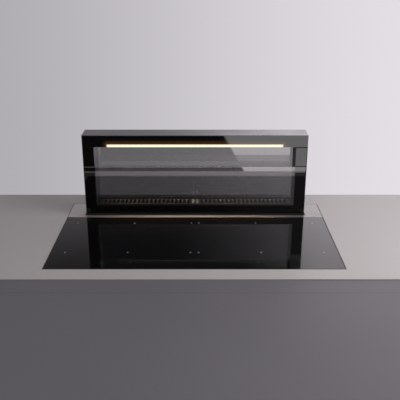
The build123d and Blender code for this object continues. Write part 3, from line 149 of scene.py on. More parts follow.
class Finish(Tree):
    """A material with one Principled shader, patterned on Object coordinates."""

    def __init__(self, name, colour, roughness, **constants):
        self.material = bpy.data.materials.new(name)
        self.material.use_nodes = True
        super().__init__(self.material.node_tree)
        self.shader = self.nodes["Principled BSDF"]
        self.place = self.node("ShaderNodeTexCoord", {}, {}, "Object")
        self.set(Base_Color=colour, Roughness=roughness, **constants)

    def set(self, **values):
        for words, value in values.items():
            self.feed(self.shader.inputs[words.replace("_", " ")], value)

    def axis(self, name):
        return self.node("ShaderNodeSeparateXYZ", {}, {0: self.place}, name)

    def noise(self, scale, stretch=(1, 1, 1), detail=3.0):
        spot = self.node("ShaderNodeMapping", {}, {"Vector": self.place, "Scale": stretch})
        return self.node("ShaderNodeTexNoise", {}, {"Vector": spot, "Scale": scale, "Detail": detail})

    def cells(self, scale, feature="F1", output="Distance"):
        values = {"Vector": self.place, "Scale": scale}
        return self.node("ShaderNodeTexVoronoi", {"feature": feature}, values, output)

    def mottle(self, pattern, dark, light, *roughness):
        """Display levels from dark to light over a pattern, and two roughnesses with them if given."""
        self.set(Base_Color=self.mix(pattern, linear(*dark), linear(*light)))
        if roughness:
            self.set(Roughness=self.ramp(pattern, 0.3, 0.7, *roughness))

    def relief(self, height, depth):
        values = {"Height": height, "Distance": depth, "Strength": 1.0}
        self.set(Normal=self.node("ShaderNodeBump", {}, values, "Normal"))

    def dress(self, *names):
        """Gives this finish to CAD nodes, by their names."""
        for name in names:
            for slot in nodes[name].material_slots:
                slot.material = self.material


black_glass = Finish("black_glass_ceramic", linear(9, 9, 10), 0.05, IOR=1.52)
film = black_glass.noise(5.0, stretch=(1, 2.5, 1), detail=4.0)
specks = black_glass.ramp(black_glass.cells(260.0), 0.0, 0.09, 1.0, 0.0)
black_glass.set(
    Roughness=black_glass.ramp(film, 0.35, 0.7, 0.035, 0.085) + 0.25 * specks,
    Base_Color=black_glass.mix(0.25 * specks, linear(9, 9, 10), linear(70, 72, 76)),
)
black_glass.dress("ceramic_glass")

# Zone marks: small crosses fired into the glass with pale enamel. Each pair of zones has three
# in a row behind and three in front.


class Layout(Tree):
    """A Geometry Nodes tree with named sizes, which becomes a plain mesh on one body."""

    KINDS = {float: "Float", int: "Int", tuple: "Vector", bpy.types.Object: "Object"}

    def __init__(self, name, **sizes):
        self.group = bpy.data.node_groups.new(name, "GeometryNodeTree")
        super().__init__(self.group)
        self.sizes = sizes
        face = self.group.interface
        face.new_socket("Geometry", in_out="INPUT", socket_type="NodeSocketGeometry")
        face.new_socket("Geometry", in_out="OUTPUT", socket_type="NodeSocketGeometry")
        self.keys = {}
        for words, value in sizes.items():
            kind = "NodeSocket" + self.KINDS[type(value)]
            self.keys[words] = face.new_socket(words, in_out="INPUT", socket_type=kind).identifier
        self.entry = self.nodes.new("NodeGroupInput")
        self.exit = self.nodes.new("NodeGroupOutput")
        self.points = Wire(self, self.entry.outputs[0])

    def size(self, name):
        return Wire(self, self.entry.outputs[name])

    def vector(self, x=0.0, y=0.0, z=0.0):
        return self.node("ShaderNodeCombineXYZ", {}, {"X": x, "Y": y, "Z": z})

    def at(self, points, instance, **values):
        """A shape repeated at each of the points."""
        values = {"Points": points, "Instance": instance, **values}
        return self.node("GeometryNodeInstanceOnPoints", {}, values)

    def row(self, count, step):
        return self.node("GeometryNodeMeshLine", {}, {"Count": count, "Offset": step})

    def finish(self, geometry, finish):
        """Closes the tree: instances made real, and one material set."""
        self.material = finish.material
        real = self.node("GeometryNodeRealizeInstances", {}, {0: geometry})
        painted = self.node("GeometryNodeSetMaterial", {}, {0: real, "Material": finish.material})
        self.feed(self.exit.inputs[0], painted)

    def build(self, name, body, slot, points=((0, 0, 0),), **sizes):
        """The tree's result, begun from a mesh of loose points, as a piece on a body."""
        seed = bpy.data.meshes.new(name + "_points")
        seed.from_pydata(points, [], [])
        source = add_object(name + "_source", seed)
        modifier = source.modifiers.new(name, "NODES")
        modifier.node_group = self.group
        for words, value in {**self.sizes, **sizes}.items():
            modifier[self.keys[words]] = value
        evaluated = source.evaluated_get(bpy.context.evaluated_depsgraph_get())
        mesh = bpy.data.meshes.new_from_object(evaluated)
        mesh.name = name
        mesh.materials.clear()
        mesh.materials.append(self.material)
        mesh.polygons.foreach_set("material_index", [0] * len(mesh.polygons))
        bpy.data.objects.remove(source)
        bpy.data.meshes.remove(seed)
        piece = add_object(name, mesh)
        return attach(piece, body)


enamel = Finish("pale_enamel", linear(186, 188, 190), 0.45)
enamel.mottle(enamel.noise(900.0), (165, 167, 170), (205, 206, 207))
enamel_film = 0.00003
marks = Layout(
    "zone_marks",
    arm=0.0062,
    stroke=0.0011,
    film=enamel_film,
    columns=3,
    column_pitch=0.19175,
    row_pitch=0.229,
)
bar_sizes = (
    marks.vector(marks.size("arm"), marks.size("stroke"), marks.size("film")),
    marks.vector(marks.size("stroke"), marks.size("arm"), marks.size("film")),
)
bars = [marks.node("GeometryNodeMeshCube", {}, {"Size": size}) for size in bar_sizes]
cross = marks.node("GeometryNodeJoinGeometry", {}, {0: bars[0]})
marks.feed(cross.socket.node.inputs[0], bars[1])
grid = marks.node(
    "GeometryNodeMeshGrid",
    {},
    {
        "Size X": (marks.size("columns") - 1.0) * marks.size("column_pitch"),
        "Size Y": marks.size("row_pitch"),
        "Vertices X": marks.size("columns"),
        "Vertices Y": 2,
    },
)
blocks = marks.at(marks.points, marks.at(grid, cross))
marks.finish(blocks, enamel)
glass_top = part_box("ceramic_glass")[1].z
film_middle = glass_top + enamel_film / 2
pair_middle, zones_y = 0.20425, -0.0315
mark_points = [(x, zones_y, film_middle) for x in (-pair_middle, pair_middle)]
marks.build("zone_marks", "housing", "ceramic_glass", mark_points)

# Touch marks: dead-front symbols of smoked enamel near the front edge, hardly seen until lit.
# Two rows of dots are the power sliders, between a minus and a plus, with a switch ring at each end.
smoked = Finish("smoked_enamel", linear(40, 40, 44), 0.4)
smoked.mottle(smoked.noise(700.0), (32, 32, 36), (50, 50, 55))
dots = Layout("slider_dots", radius=0.0009, pitch=0.0115, count=9, film=enamel_film)
dot_sizes = {"Vertices": 12, "Radius": dots.size("radius"), "Depth": dots.size("film")}
dot = dots.node("GeometryNodeMeshCylinder", {}, dot_sizes)
line = dots.row(dots.size("count"), dots.vector(dots.size("pitch")))
sliders = dots.at(dots.points, dots.at(line, dot))
dots.finish(sliders, smoked)
touch_row = -0.214
slider_starts = [(x, touch_row, film_middle) for x in (-0.151, 0.059)]
dots.build("slider_dots", "housing", "ceramic_glass", slider_starts)


def shape(name, fill, finish=None):
    """An object whose mesh fill(bm) makes, with one finish or with none."""
    bm = bmesh.new()
    fill(bm)
    mesh = bpy.data.meshes.new(name)
    bm.to_mesh(mesh)
    bm.free()
    if finish:
        mesh.materials.append(finish.material)
    return add_object(name, mesh)


def build_mesh(name, body, finish, fill):
    """A piece whose mesh fill(bm) makes, on a body, with one finish."""
    piece = shape(name, fill, finish)
    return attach(piece, body)


def add_block(bm, low, high):
    """An upright block in a mesh, from corner to corner."""
    xs, ys, zs = zip(low, high)
    corners = [bm.verts.new((x, y, z)) for x in xs for y in ys for z in zs]
    for face in ((0, 1, 3, 2), (4, 6, 7, 5), (0, 4, 5, 1), (2, 3, 7, 6), (0, 2, 6, 4), (1, 5, 7, 3)):
        bm.faces.new([corners[i] for i in face])


def circle(radius, z, sides, centre=(0.0, 0.0)):
    """The points of a level circle."""
    turns = [math.tau * i / sides for i in range(sides)]
    return [(centre[0] + radius * math.cos(t), centre[1] + radius * math.sin(t), z) for t in turns]


def band(bm, lower, upper):
    """One row of faces between two rings of vertices."""
    for i in range(len(lower)):
        j = (i + 1) % len(lower)
        bm.faces.new((lower[i], lower[j], upper[j], upper[i]))


def touch_symbols(bm):
    minus_x, plus_x, switch_x = -0.168, 0.166, 0.19
    reach, thin = 0.003, 0.0004
    outer, inner = 0.0042, 0.0034
    low, top = glass_top, glass_top + enamel_film
    for x in (minus_x, plus_x):
        add_block(bm, (x - reach, touch_row - thin, low), (x + reach, touch_row + thin, top))
    add_block(bm, (plus_x - thin, touch_row - reach, low), (plus_x + thin, touch_row + reach, top))
    for x in (-switch_x, switch_x):
        rings = []
        for radius, z in ((outer, low), (outer, top), (inner, top), (inner, low)):
            rings.append([bm.verts.new(point) for point in circle(radius, z, 24, (x, touch_row))])
        for i in range(len(rings)):
            band(bm, rings[i - 1], rings[i])
    bmesh.ops.recalc_face_normals(bm, faces=bm.faces)


build_mesh("touch_symbols", "housing", smoked, touch_symbols)

# Trim plate: stainless sheet, folded down at its rim, ground along its length and cleaned by hand.
# The grain runs from left to right.
plate_steel = Finish("ground_stainless", linear(168, 166, 163), 0.3, Metallic=1.0)
long_grain = plate_steel.noise(900.0, stretch=(0.012, 1, 1), detail=4.0)
wiping = plate_steel.noise(7.0, stretch=(0.6, 1.4, 1))
plate_steel.set(
    Base_Color=plate_steel.mix(long_grain, linear(152, 148, 148), linear(184, 180, 179)),
    Roughness=plate_steel.ramp(wiping, 0.3, 0.7, 0.4, 0.48) + 0.08 * long_grain,
)
plate_steel.relief(long_grain, 0.00009)
plate_steel.dress("trim_plate")

# Slot gasket and seal tape: extruded silicone and closed-cell foam, both black, with slightly
# blotchy tone and roughness. The gasket wipes the tower.
silicone = Finish("black_silicone", linear(24, 24, 25), 0.6)
bloom = silicone.noise(60.0)
pores = silicone.noise(1600.0)
silicone.mottle(bloom, (20, 20, 21), (36, 36, 37), 0.5, 0.68)
silicone.relief(pores, 0.00003)
silicone.dress("slot_gasket", "seal_tape")

# Hob tray, casing and clamps: hot-dip galvanised sheet, folded and spot welded. The zinc shows
# flat crystals of slightly different greys, with drawn scuffs.
zinc = Finish("galvanised_sheet", linear(150, 152, 154), 0.42, Metallic=1.0)
flower = zinc.cells(120.0, output="Color")
tone = zinc.node("ShaderNodeSeparateColor", {}, {0: flower}, "Red")
scuffs = zinc.noise(300.0, stretch=(0.1, 1, 0.25))
zinc.set(
    Base_Color=zinc.mix(0.7 * tone + 0.3 * scuffs, linear(134, 137, 140), linear(170, 172, 173)),
    Roughness=zinc.ramp(tone, 0.0, 1.0, 0.4, 0.5),
)
zinc.relief(tone + 0.3 * scuffs, 0.00002)
zinc.dress("hob_tray", "casing_shell", "casing_front_panel", "worktop_clamps")

# Tray fasteners: zinc-plated pan-head screws with a cross recess, which hold the tray to the
# glass's frame. There is one row along the front wall and one along each side wall.


def skin(bm, rings):
    """A closed skin over rings of points, from the lowest to the highest."""
    layers = [[bm.verts.new(point) for point in ring] for ring in rings]
    for lower, upper in zip(layers, layers[1:]):
        band(bm, lower, upper)
    bm.faces.new(layers[0][::-1])
    bm.faces.new(layers[-1])


def pan_head(bm, radius=0.003, height=0.0018, sides=16):
    """A low domed screw head on the XY plane, with a recess that is deepest at its four wings."""
    dome = ((1.0, 0.0), (1.0, 0.25), (0.93, 0.55), (0.72, 0.85), (0.4, 1.0))
    rings = [circle(radius * share, height * rise, sides) for share, rise in dome]
    wings = circle(0.187 * radius, 0.35 * height, sides)
    webs = circle(0.22 * radius, 0.6 * height, sides)
    recess = [webs[i] if i % 4 else wings[i] for i in range(sides)]
    skin(bm, rings + [recess])


zinc_screw = Finish("zinc_plated_screw", linear(170, 172, 170), 0.3, Metallic=1.0)
stain = zinc_screw.noise(500.0)
zinc_screw.mottle(stain, (150, 152, 150), (196, 196, 190), 0.24, 0.42)
head = shape("pan_head", pan_head)
screws = Layout("screw_rows", head=head, count=6, step=(0.1, 0.0, 0.0), turn=(0.0, 0.0, 0.0))
screw_line = screws.row(screws.size("count"), screws.size("step"))
screw_rows = screws.at(screws.points, screw_line)
screw_points = screws.node("GeometryNodeRealizeInstances", {}, {0: screw_rows})
screw_head = screws.node("GeometryNodeObjectInfo", {}, {0: screws.size("head")}, "Geometry")
screws.finish(screws.at(screw_points, screw_head, Rotation=screws.size("turn")), zinc_screw)
FRONT, BACK = (math.pi / 2, 0.0, 0.0), (-math.pi / 2, 0.0, 0.0)
LEFT, RIGHT = (0.0, -math.pi / 2, 0.0), (0.0, math.pi / 2, 0.0)
tray_low, tray_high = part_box("hob_tray")
screw_level = -0.014
for name, start, count, step, turn in (
    ("tray_front_screws", (-0.375, tray_low.y, screw_level), 6, (0.15, 0.0, 0.0), FRONT),
    ("tray_left_screws", (tray_low.x, -0.20, screw_level), 4, (0.0, 0.09, 0.0), LEFT),
    ("tray_right_screws", (tray_high.x, -0.20, screw_level), 4, (0.0, 0.09, 0.0), RIGHT),
):
    screws.build(name, "housing", "galvanised", [start], count=count, step=step, turn=turn)

# Tray louvres: two fields of pressed louvres in the tray's floor, under the cooling fans, where
# the hob draws its air. Each louvre is a low oval hood, drawn out of the sheet.
louvres = Layout(
    "floor_louvres",
    length=0.022,
    width=0.0052,
    rise=0.0011,
    across=3,
    along=9,
    gap=0.027,
    pitch=0.0085,
)
hood = louvres.node("GeometryNodeMeshUVSphere", {}, {"Segments": 20, "Rings": 8, "Radius": 0.5})
hood_size = louvres.vector(louvres.size("length"), louvres.size("width"), 2.0 * louvres.size("rise"))
pressed = louvres.node("GeometryNodeTransform", {}, {"Geometry": hood, "Scale": hood_size})
field = louvres.node(
    "GeometryNodeMeshGrid",
    {},
    {
        "Size X": (louvres.size("across") - 1.0) * louvres.size("gap"),
        "Size Y": (louvres.size("along") - 1.0) * louvres.size("pitch"),
        "Vertices X": louvres.size("across"),
        "Vertices Y": louvres.size("along"),
    },
)
louvres.finish(louvres.at(louvres.points, louvres.at(field, pressed)), zinc)
fan_boxes = [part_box(f"{hand}_fan_rotor") for hand in ("left", "right")]
fan_middles = [(low + high) / 2 for low, high in fan_boxes]
louvre_fields = [(middle.x, middle.y, tray_low.z) for middle in fan_middles]
louvres.build("floor_louvres", "housing", "galvanised", louvre_fields)

# Coil decks: an aluminium plate carries four windings of varnished copper strand, on moulded
# carriers with sintered ferrite bars, under sheets of mica. All of it is shut in by the glass.
mill = Finish("mill_aluminium", linear(188, 190, 192), 0.36, Metallic=1.0)
rolling = mill.noise(420.0, stretch=(0.03, 1, 0.2))
mill.mottle(rolling, (170, 172, 175), (202, 203, 204), 0.3, 0.44)
mill.relief(rolling, 0.00001)
mill.dress("coil_support_plate", "heat_sinks", "led_profile")
copper = Finish("varnished_copper", linear(176, 104, 62), 0.35, Metallic=1.0)
strand = copper.noise(700.0, stretch=(1, 1, 0.2))
copper.mottle(strand, (140, 78, 44), (206, 130, 84))
copper.relief(strand, 0.0002)
copper.dress("coil_windings")
ferrite = Finish("sintered_ferrite", linear(52, 52, 54), 0.55)
pressing = ferrite.noise(380.0)
ferrite.mottle(pressing, (40, 40, 42), (66, 66, 68), 0.45, 0.65)
ferrite.relief(pressing, 0.00008)
ferrite.dress("ferrite_bars")
mica = Finish("mica_sheet", linear(186, 176, 152), 0.5)
flakes = mica.cells(140.0, output="Color")
flake_tone = mica.node("ShaderNodeSeparateColor", {}, {0: flakes}, "Green")
mica.set(
    Base_Color=mica.mix(flake_tone, linear(160, 148, 122), linear(208, 200, 178)),
    Roughness=mica.ramp(flake_tone, 0.0, 1.0, 0.35, 0.6),
)
mica.dress("coil_covers")

# Hob electronics: green boards with black capacitors and chokes, moulded holders and fan frames,
# and a grey terminal block. The moulded parts have a fine spark-eroded texture.
board = Finish("green_board", linear(22, 74, 46), 0.4)
tracks = board.cells(330.0)
board_face = -0.0395
above = board.ramp(board.axis("Z"), board_face, board_face + 0.0002)
board.set(
    Base_Color=board.mix(
        above,
        board.mix(board.ramp(tracks, 0.1, 0.3), linear(14, 52, 32), linear(34, 96, 60)),
        board.mix(board.noise(90.0), linear(22, 22, 24), linear(44, 42, 40)),
    ),
    Roughness=board.ramp(tracks, 0.0, 0.5, 0.3, 0.5),
)
board.relief(tracks, 0.00005)
board.dress("power_boards", "touch_board")
moulded = Finish("black_moulding", linear(34, 34, 36), 0.5)
spark = moulded.noise(1100.0)
flow = moulded.noise(14.0)
moulded.mottle(flow, (28, 28, 30), (46, 46, 48), 0.42, 0.58)
moulded.relief(spark, 0.00006)
moulded.dress(
    "fan_frames",
    "left_fan_rotor",
    "right_fan_rotor",
    "touch_board_holder",
    "blower_scroll",
    "blower_cover",
    "outlet_collar",
)
pale_moulding = Finish("grey_moulding", linear(122, 124, 127), 0.5)
pale_spark = pale_moulding.noise(1000.0)
pale_flow = pale_moulding.noise(12.0)
pale_moulding.mottle(pale_flow, (112, 114, 117), (134, 136, 138), 0.42, 0.58)
pale_moulding.relief(pale_spark, 0.00006)
pale_moulding.dress(
    "coil_carriers",
    "zone_sensors",
    "mains_terminal",
    "impeller_hub",
    "impeller_blades",
    "impeller_ring",
    "control_box",
)

# Tower cap: aluminium sheet, folded into a channel, brushed along its length and anodised in
# graphite. It closes the tower on top and carries the glass strip of the header.
anodised = Finish("graphite_anodised", linear(124, 124, 126), 0.3, Metallic=1.0)
brushing = anodised.noise(800.0, stretch=(0.015, 1, 0.6), detail=4.0)
handling = anodised.noise(9.0)
anodised.set(
    Base_Color=anodised.mix(brushing, linear(117, 117, 120), linear(132, 132, 134)),
    Roughness=anodised.ramp(handling, 0.3, 0.7, 0.25, 0.34),
)
anodised.relief(brushing, 0.00001)
anodised.dress("tower_cap")

# Header strip: black glass, painted on its back and bonded to the cap, with two short strips of the
# same glass beside the intake. Round its notch the glass has a painted warm glow: an emission that
# fades up and out from the light bar, though the glass is no lamp.
light_low, light_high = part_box("led_diffuser")
glow_reach = 0.018
unlit = (0.0, 0.0, 0.0, 1.0)
back_painted = Finish("back_painted_glass", linear(2, 2, 2), 0.02, IOR=2.1)
# Painted glow: emission in the glass round the notch, fading up and out from the bar.
above_bar = back_painted.axis("Z") - light_high.z
beside_bar = abs(back_painted.axis("X")) - light_high.x
fade_up = back_painted.ramp(above_bar, 0.0, glow_reach, 1.0, 0.0, smooth=False)
fade_out = back_painted.ramp(beside_bar, 0.0, glow_reach, 1.0, 0.0, smooth=False)
glow = fade_up * fade_up * fade_out * fade_out
streaks = back_painted.noise(6.0, stretch=(1, 1, 3))
back_painted.set(
    Roughness=back_painted.ramp(streaks, 0.35, 0.7, 0.012, 0.03),
    Emission_Color=back_painted.mix(glow, unlit, linear(78, 50, 26)),
    Emission_Strength=1.0,
)
back_painted.dress("header_fascia")

# Light bar: an opal acrylic bar, cut to the notch, in front of a strip of white board with
# yellow light sources. The bar is a little brighter in front of each source.
source_pitch = 0.018
opal = Finish("lit_opal", linear(122, 117, 104), 0.35, Emission_Strength=1.0)
wave = abs(opal.axis("X") % source_pitch - source_pitch / 2)
hot = opal.ramp(wave, 0.0, source_pitch / 2, 1.0, 0.0)
end_fade = 0.006
ends = opal.ramp(abs(opal.axis("X")), light_high.x - end_fade, light_high.x, 1.0, 0.55)
warm_light = (1.06, 0.93, 0.7, 1.0)
opal.set(Emission_Color=opal.mix(ends * (0.92 + 0.08 * hot), unlit, warm_light))
opal.dress("led_diffuser")
source_half, source_depth = 0.0022, 0.0011
white_board = Finish("white_board", linear(214, 214, 210), 0.4, Emission_Strength=1.0)
off_middle = abs(white_board.axis("X") % source_pitch - source_pitch / 2)
sources = white_board.ramp(off_middle, source_half, source_half + 0.0002, 1.0, 0.0) * (
    white_board.axis("Y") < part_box("led_board")[0].y + source_depth
)
white_board.set(
    Base_Color=white_board.mix(sources, linear(214, 214, 210), linear(232, 196, 96)),
    Emission_Color=white_board.mix(sources, unlit, (1.0, 0.9, 0.66, 1.0)),
)
white_board.dress("led_board")

# Light of the bar: it leaves just below the bar, and falls on the filters and on the steel in
# front of the tower. It rises and sinks with the tower.
lamp_depth, lamp_gap = 0.006, 0.001
led_lamp = bpy.data.lights.new("light_bar_glow", "AREA")
led_lamp.shape = "RECTANGLE"
led_lamp.size = light_high.x - light_low.x
led_lamp.size_y = lamp_depth
led_lamp.energy = 0.85
led_lamp.color = (1.0, 0.76, 0.54)
led_lamp.spread = math.radians(80)
led_lamp.cycles.max_bounces = 0
led_lamp.cycles.use_multiple_importance_sampling = False
led_source = add_object("light_bar_glow", led_lamp)
led_source.location = (0.0, light_low.y + lamp_depth / 2, light_low.z - lamp_gap)
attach(led_source, "tower")

# Panes: toughened grey glass with a half-mirror coating, and a black ceramic border printed on
# the inner face. The border is solid to the eye, and the window lets the wall behind show through.
window_x = 0.3404
frit = linear(10, 9, 9)
coated_mirror = (0.19, 0.19, 0.19, 1.0)
blur = 0.0004


def glass_pane(name, node, border_top, coated_from, mirror, clearness):
    """A pane whose window is a half mirror above border_top, in a border that is bare frit below
    coated_from and coated above it. Light crosses two faces, and each lets clearness through."""
    pane = Finish(name, frit, 0.02, IOR=1.5)
    coated = pane.ramp(pane.axis("Z"), coated_from - blur, coated_from + blur)
    border = pane.mix(coated, frit, coated_mirror)
    across = pane.ramp(abs(pane.axis("X")), window_x - blur, window_x + blur, 1.0, 0.0)
    window = across * pane.ramp(pane.axis("Z"), border_top - blur, border_top + blur)
    wiped = pane.noise(7.0, stretch=(1, 1, 2.2), detail=4.0)
    pane.set(
        Base_Color=pane.mix(window, border, (mirror, 0.96 * mirror, mirror, 1.0)),
        Metallic=pane.ramp(window + coated, 0.0, 1.0, smooth=False),
        Alpha=1.0 - window * clearness,
        Roughness=pane.ramp(wiped, 0.35, 0.7, 0.012, 0.04),
    )
    pane.dress(node)


above_pane = 1.0
glass_pane("front_window_glass", "front_pane", 0.041, 0.1595, mirror=0.54, clearness=0.58)
glass_pane("rear_window_glass", "rear_pane", 0.0405, above_pane, mirror=0.34, clearness=0.46)

# Tower frame: stiles and hinge rail of extruded aluminium, anodised black, on a folded steel base
# with a baked black coat. Both show fine draw lines and a slight orange peel.
black_frame = Finish("black_anodised", linear(18, 18, 19), 0.38)
draw = black_frame.noise(500.0, stretch=(1, 1, 0.04))
peel = black_frame.noise(420.0)
black_frame.set(
    Base_Color=black_frame.mix(draw, linear(11, 11, 12), linear(19, 19, 21)),
    Roughness=black_frame.ramp(peel, 0.3, 0.7, 0.32, 0.46),
)
black_frame.relief(peel, 0.00004)
black_frame.dress("left_stile", "right_stile", "pane_rail", "tower_base_frame")
ground = Finish("ground_shaft_steel", linear(196, 197, 199), 0.18, Metallic=1.0)
turning = ground.noise(1500.0, stretch=(0.2, 0.2, 1))
ground.mottle(turning, (176, 178, 181), (208, 209, 210), 0.14, 0.26)
ground.dress("pane_hinge_pins", "left_guide_rod", "right_guide_rod")

# Corner pads: small moulded silicone buffers at the corners of the slot, where the gasket's strips
# meet. Each is a half ball, sunk a little into the gasket's lip.


def corner_pads(bm):
    corner_x, front_y, rear_y = 0.3812, 0.1548, 0.2332
    radius, sunk = 0.0019, 0.0006
    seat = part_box("slot_gasket")[1].z - sunk
    for x in (-corner_x, corner_x):
        for y in (front_y, rear_y):
            made = bmesh.ops.create_uvsphere(bm, u_segments=20, v_segments=12, radius=radius)
            for vert in made["verts"]:
                vert.co = (x + vert.co.x, y + vert.co.y, seat + max(vert.co.z, 0.0))
    bmesh.ops.remove_doubles(bm, verts=bm.verts, dist=0.000001)


build_mesh("corner_pads", "housing", silicone, corner_pads)

# Grease filters: bright stainless cassettes with a row of punched slots, over level sheets of
# expanded aluminium mesh. They are lightly marked by washing.
bright = Finish("bright_stainless", linear(104, 100, 96), 0.46, Metallic=1.0)
hairline = bright.noise(700.0, stretch=(0.03, 1, 1))
water = bright.cells(70.0)
bright.set(
    Base_Color=bright.mix(hairline, linear(94, 90, 86), linear(114, 110, 106)),
    Roughness=bright.ramp(water, 0.0, 0.5, 0.52, 0.42) + 0.08 * hairline,
)
bright.relief(hairline, 0.00002)
bright.dress("left_filter", "right_filter")
long_way, short_way = 0.006, 0.0034
# Expanded mesh: the strands are light, and the openings between them are painted dark, a painted shade
# for the depth seen through them.
mesh_finish = Finish("expanded_aluminium", linear(176, 177, 176), 0.34, Metallic=1.0)
along_diamond = abs(mesh_finish.axis("X") % long_way - long_way / 2) * 2.0
across_diamond = abs(mesh_finish.axis("Y") % short_way - short_way / 2) * 3.5
strandline = abs(along_diamond - across_diamond)
mesh_finish.set(
    Base_Color=mesh_finish.mix(
        mesh_finish.ramp(strandline, 0.0008, 0.0016), linear(178, 178, 176), linear(34, 34, 34)
    ),
    Roughness=mesh_finish.ramp(strandline, 0.0008, 0.0016, 0.3, 0.7),
)
mesh_finish.relief(mesh_finish.ramp(strandline, 0.0, 0.0016, 1.0, 0.0), 0.0006)
mesh_finish.dress("left_filter_pack", "right_filter_pack")

# Top of a filter: the punch turns up a small rounded lip round each slot, and presses a dome into
# the web between two slots. The domes get a paler finish than the filter's steel, a painted
# brightness that makes them show the light bar's glints.
slot_pitch, slot_count = 0.0146, 21
lips = Layout(
    "slot_collars",
    length=0.0322,
    width=0.0098,
    corner=0.0015,
    lip=0.0004,
    count=slot_count,
    pitch=slot_pitch,
)
oblong = {0: lips.size("width"), 1: lips.size("length")}
outline = lips.node("GeometryNodeCurvePrimitiveQuadrilateral", {}, oblong)
rounding = {0: outline, "Radius": lips.size("corner"), "Count": 4}
rounded = lips.node("GeometryNodeFilletCurve", {"mode": "POLY"}, rounding)
wire = {"Resolution": 8, "Radius": lips.size("lip")}
lip_edge = lips.node("GeometryNodeCurvePrimitiveCircle", {"mode": "RADIUS"}, wire)
lip = lips.node("GeometryNodeCurveToMesh", {}, {0: rounded, 1: lip_edge})
lip_line = lips.row(lips.size("count"), lips.vector(lips.size("pitch")))
lips.finish(lips.at(lips.points, lips.at(lip_line, lip)), bright)
domes = Layout("web_domes", radius=0.0023, rise=0.0019, count=slot_count - 1, pitch=slot_pitch)
ball = domes.node("GeometryNodeMeshUVSphere", {}, {"Segments": 16, "Rings": 8, "Radius": 1.0})
dome_size = domes.vector(domes.size("radius"), domes.size("radius"), domes.size("rise"))
pressed_dome = domes.node("GeometryNodeTransform", {}, {"Geometry": ball, "Scale": dome_size})
dome_line = domes.row(domes.size("count"), domes.vector(domes.size("pitch")))
# Painted brightness: the domes are paler than the sheet they are pressed from, so that they glint.
glint_dome = Finish("glint_dome_finish", linear(222, 220, 214), 0.4, Metallic=0.35)
fine = glint_dome.noise(1200.0)
glint_dome.set(Roughness=glint_dome.ramp(fine, 0.3, 0.7, 0.34, 0.44))
domes.finish(domes.at(domes.points, domes.at(dome_line, pressed_dome)), glint_dome)
for hand in ("left", "right"):
    low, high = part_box(f"{hand}_filter")
    slot_x = (low.x + high.x) / 2 - slot_pitch * (slot_count - 1) / 2
    slot_start = (slot_x, (low.y + high.y) / 2, high.z)
    web_start = (slot_x + slot_pitch / 2, high.y - 0.014, high.z)
    lips.build(f"{hand}_slot_collars", f"{hand}_cassette", "filter_steel", [slot_start])
    domes.build(f"{hand}_web_domes", f"{hand}_cassette", "filter_steel", [web_start])

# Filter pulls: a strip of satin steel on each filter, folded up as a grip that leans back, and
# held to the top sheet by one rivet.
satin = Finish("satin_pull", linear(222, 220, 215), 0.4, Metallic=0.3)
rubbed = satin.noise(260.0)
satin.mottle(rubbed, (212, 210, 205), (230, 228, 224), 0.34, 0.46)
pull_sheet, lean, rivet_inset = 0.0015, 0.42, 0.0035
for hand in ("left", "right"):
    tab_low, tab_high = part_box(f"{hand}_filter_tab")
    foot_top = tab_low.z + pull_sheet

    def leaning_pull(bm):
        """The CAD pull, with its grip leaning back from the fold."""
        bm.from_mesh(nodes[f"{hand}_filter_tab"].data)
        bmesh.ops.remove_doubles(bm, verts=bm.verts, dist=0.00001)
        for vert in bm.verts:
            vert.co.y += lean * max(0.0, vert.co.z - foot_top)

    pull = build_mesh(f"{hand}_filter_pull", f"{hand}_cassette", satin, leaning_pull)
    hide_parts(f"{hand}_filter_tab")
    rivet = ((tab_low.x + tab_high.x) / 2, tab_high.y - rivet_inset, foot_top)
    screws.build(f"{hand}_tab_rivet", f"{hand}_cassette", "filter_steel", [rivet], count=1)

# Lift: carriages and bearing blocks of milled aluminium, flanged bronze nuts, ground guide rods
# and rolled lead screws, turned by geared motors in plated cans.
milled = Finish("milled_aluminium", linear(196, 198, 200), 0.3, Metallic=1.0)
cut = 0.0024
cutter = abs(milled.axis("Y") % cut - cut / 2) * 800.0
swarf = milled.noise(240.0)
milled.set(
    Base_Color=milled.mix(swarf, linear(180, 182, 185), linear(208, 210, 211)),
    Roughness=milled.ramp(cutter, 0.0, 1.0, 0.24, 0.38),
)
milled.relief(cutter, 0.000012)
milled.dress("left_carriage", "right_carriage", "screw_bearings")
bronze = Finish("cast_bronze", linear(172, 130, 74), 0.32, Metallic=1.0)
patina = bronze.noise(120.0)
bronze.mottle(patina, (150, 108, 58), (190, 150, 92), 0.26, 0.42)
bronze.dress("lift_nuts")
can = Finish("plated_motor_can", linear(128, 130, 134), 0.32, Metallic=1.0)
drawn = can.noise(300.0, stretch=(1, 1, 0.08))
can.mottle(drawn, (112, 114, 118), (146, 148, 152), 0.26, 0.4)
can.dress("left_lift_motor", "right_lift_motor", "blower_motor")

# Lead screws: rolled steel bars with a trapezoidal thread of two starts, 4 mm from crest to crest,
# between plain turned journals.


def threaded_bar(bm, low, high, centre, core=0.0041, crest=0.005, pitch=0.004, starts=2):
    """A bar whose radius rises from core to crest along its starts, in a form with flat tops."""
    sides, rows_a_pitch = 20, 6
    rows = round((high - low) / pitch * rows_a_pitch)
    rings = []
    for row in range(rows + 1):
        z = low + (high - low) * row / rows
        ring = []
        for side in range(sides):
            phase = (z / pitch - starts * side / sides) % 1.0
            share = min(1.0, max(0.0, 2.6 - abs(phase - 0.5) * 7.2)) if 0 < row < rows else 0.0
            radius = core + (crest - core) * share
            ring.append(circle(radius, z, sides, centre)[side])
        rings.append(ring)
    skin(bm, rings)


def turned_shaft(bm, steps, centre, sides=24):
    """Stacked cylinders on one axis: (z, radius) from the bottom to the top, closed at both ends."""
    skin(bm, [circle(radius, z, sides, centre) for z, radius in steps])


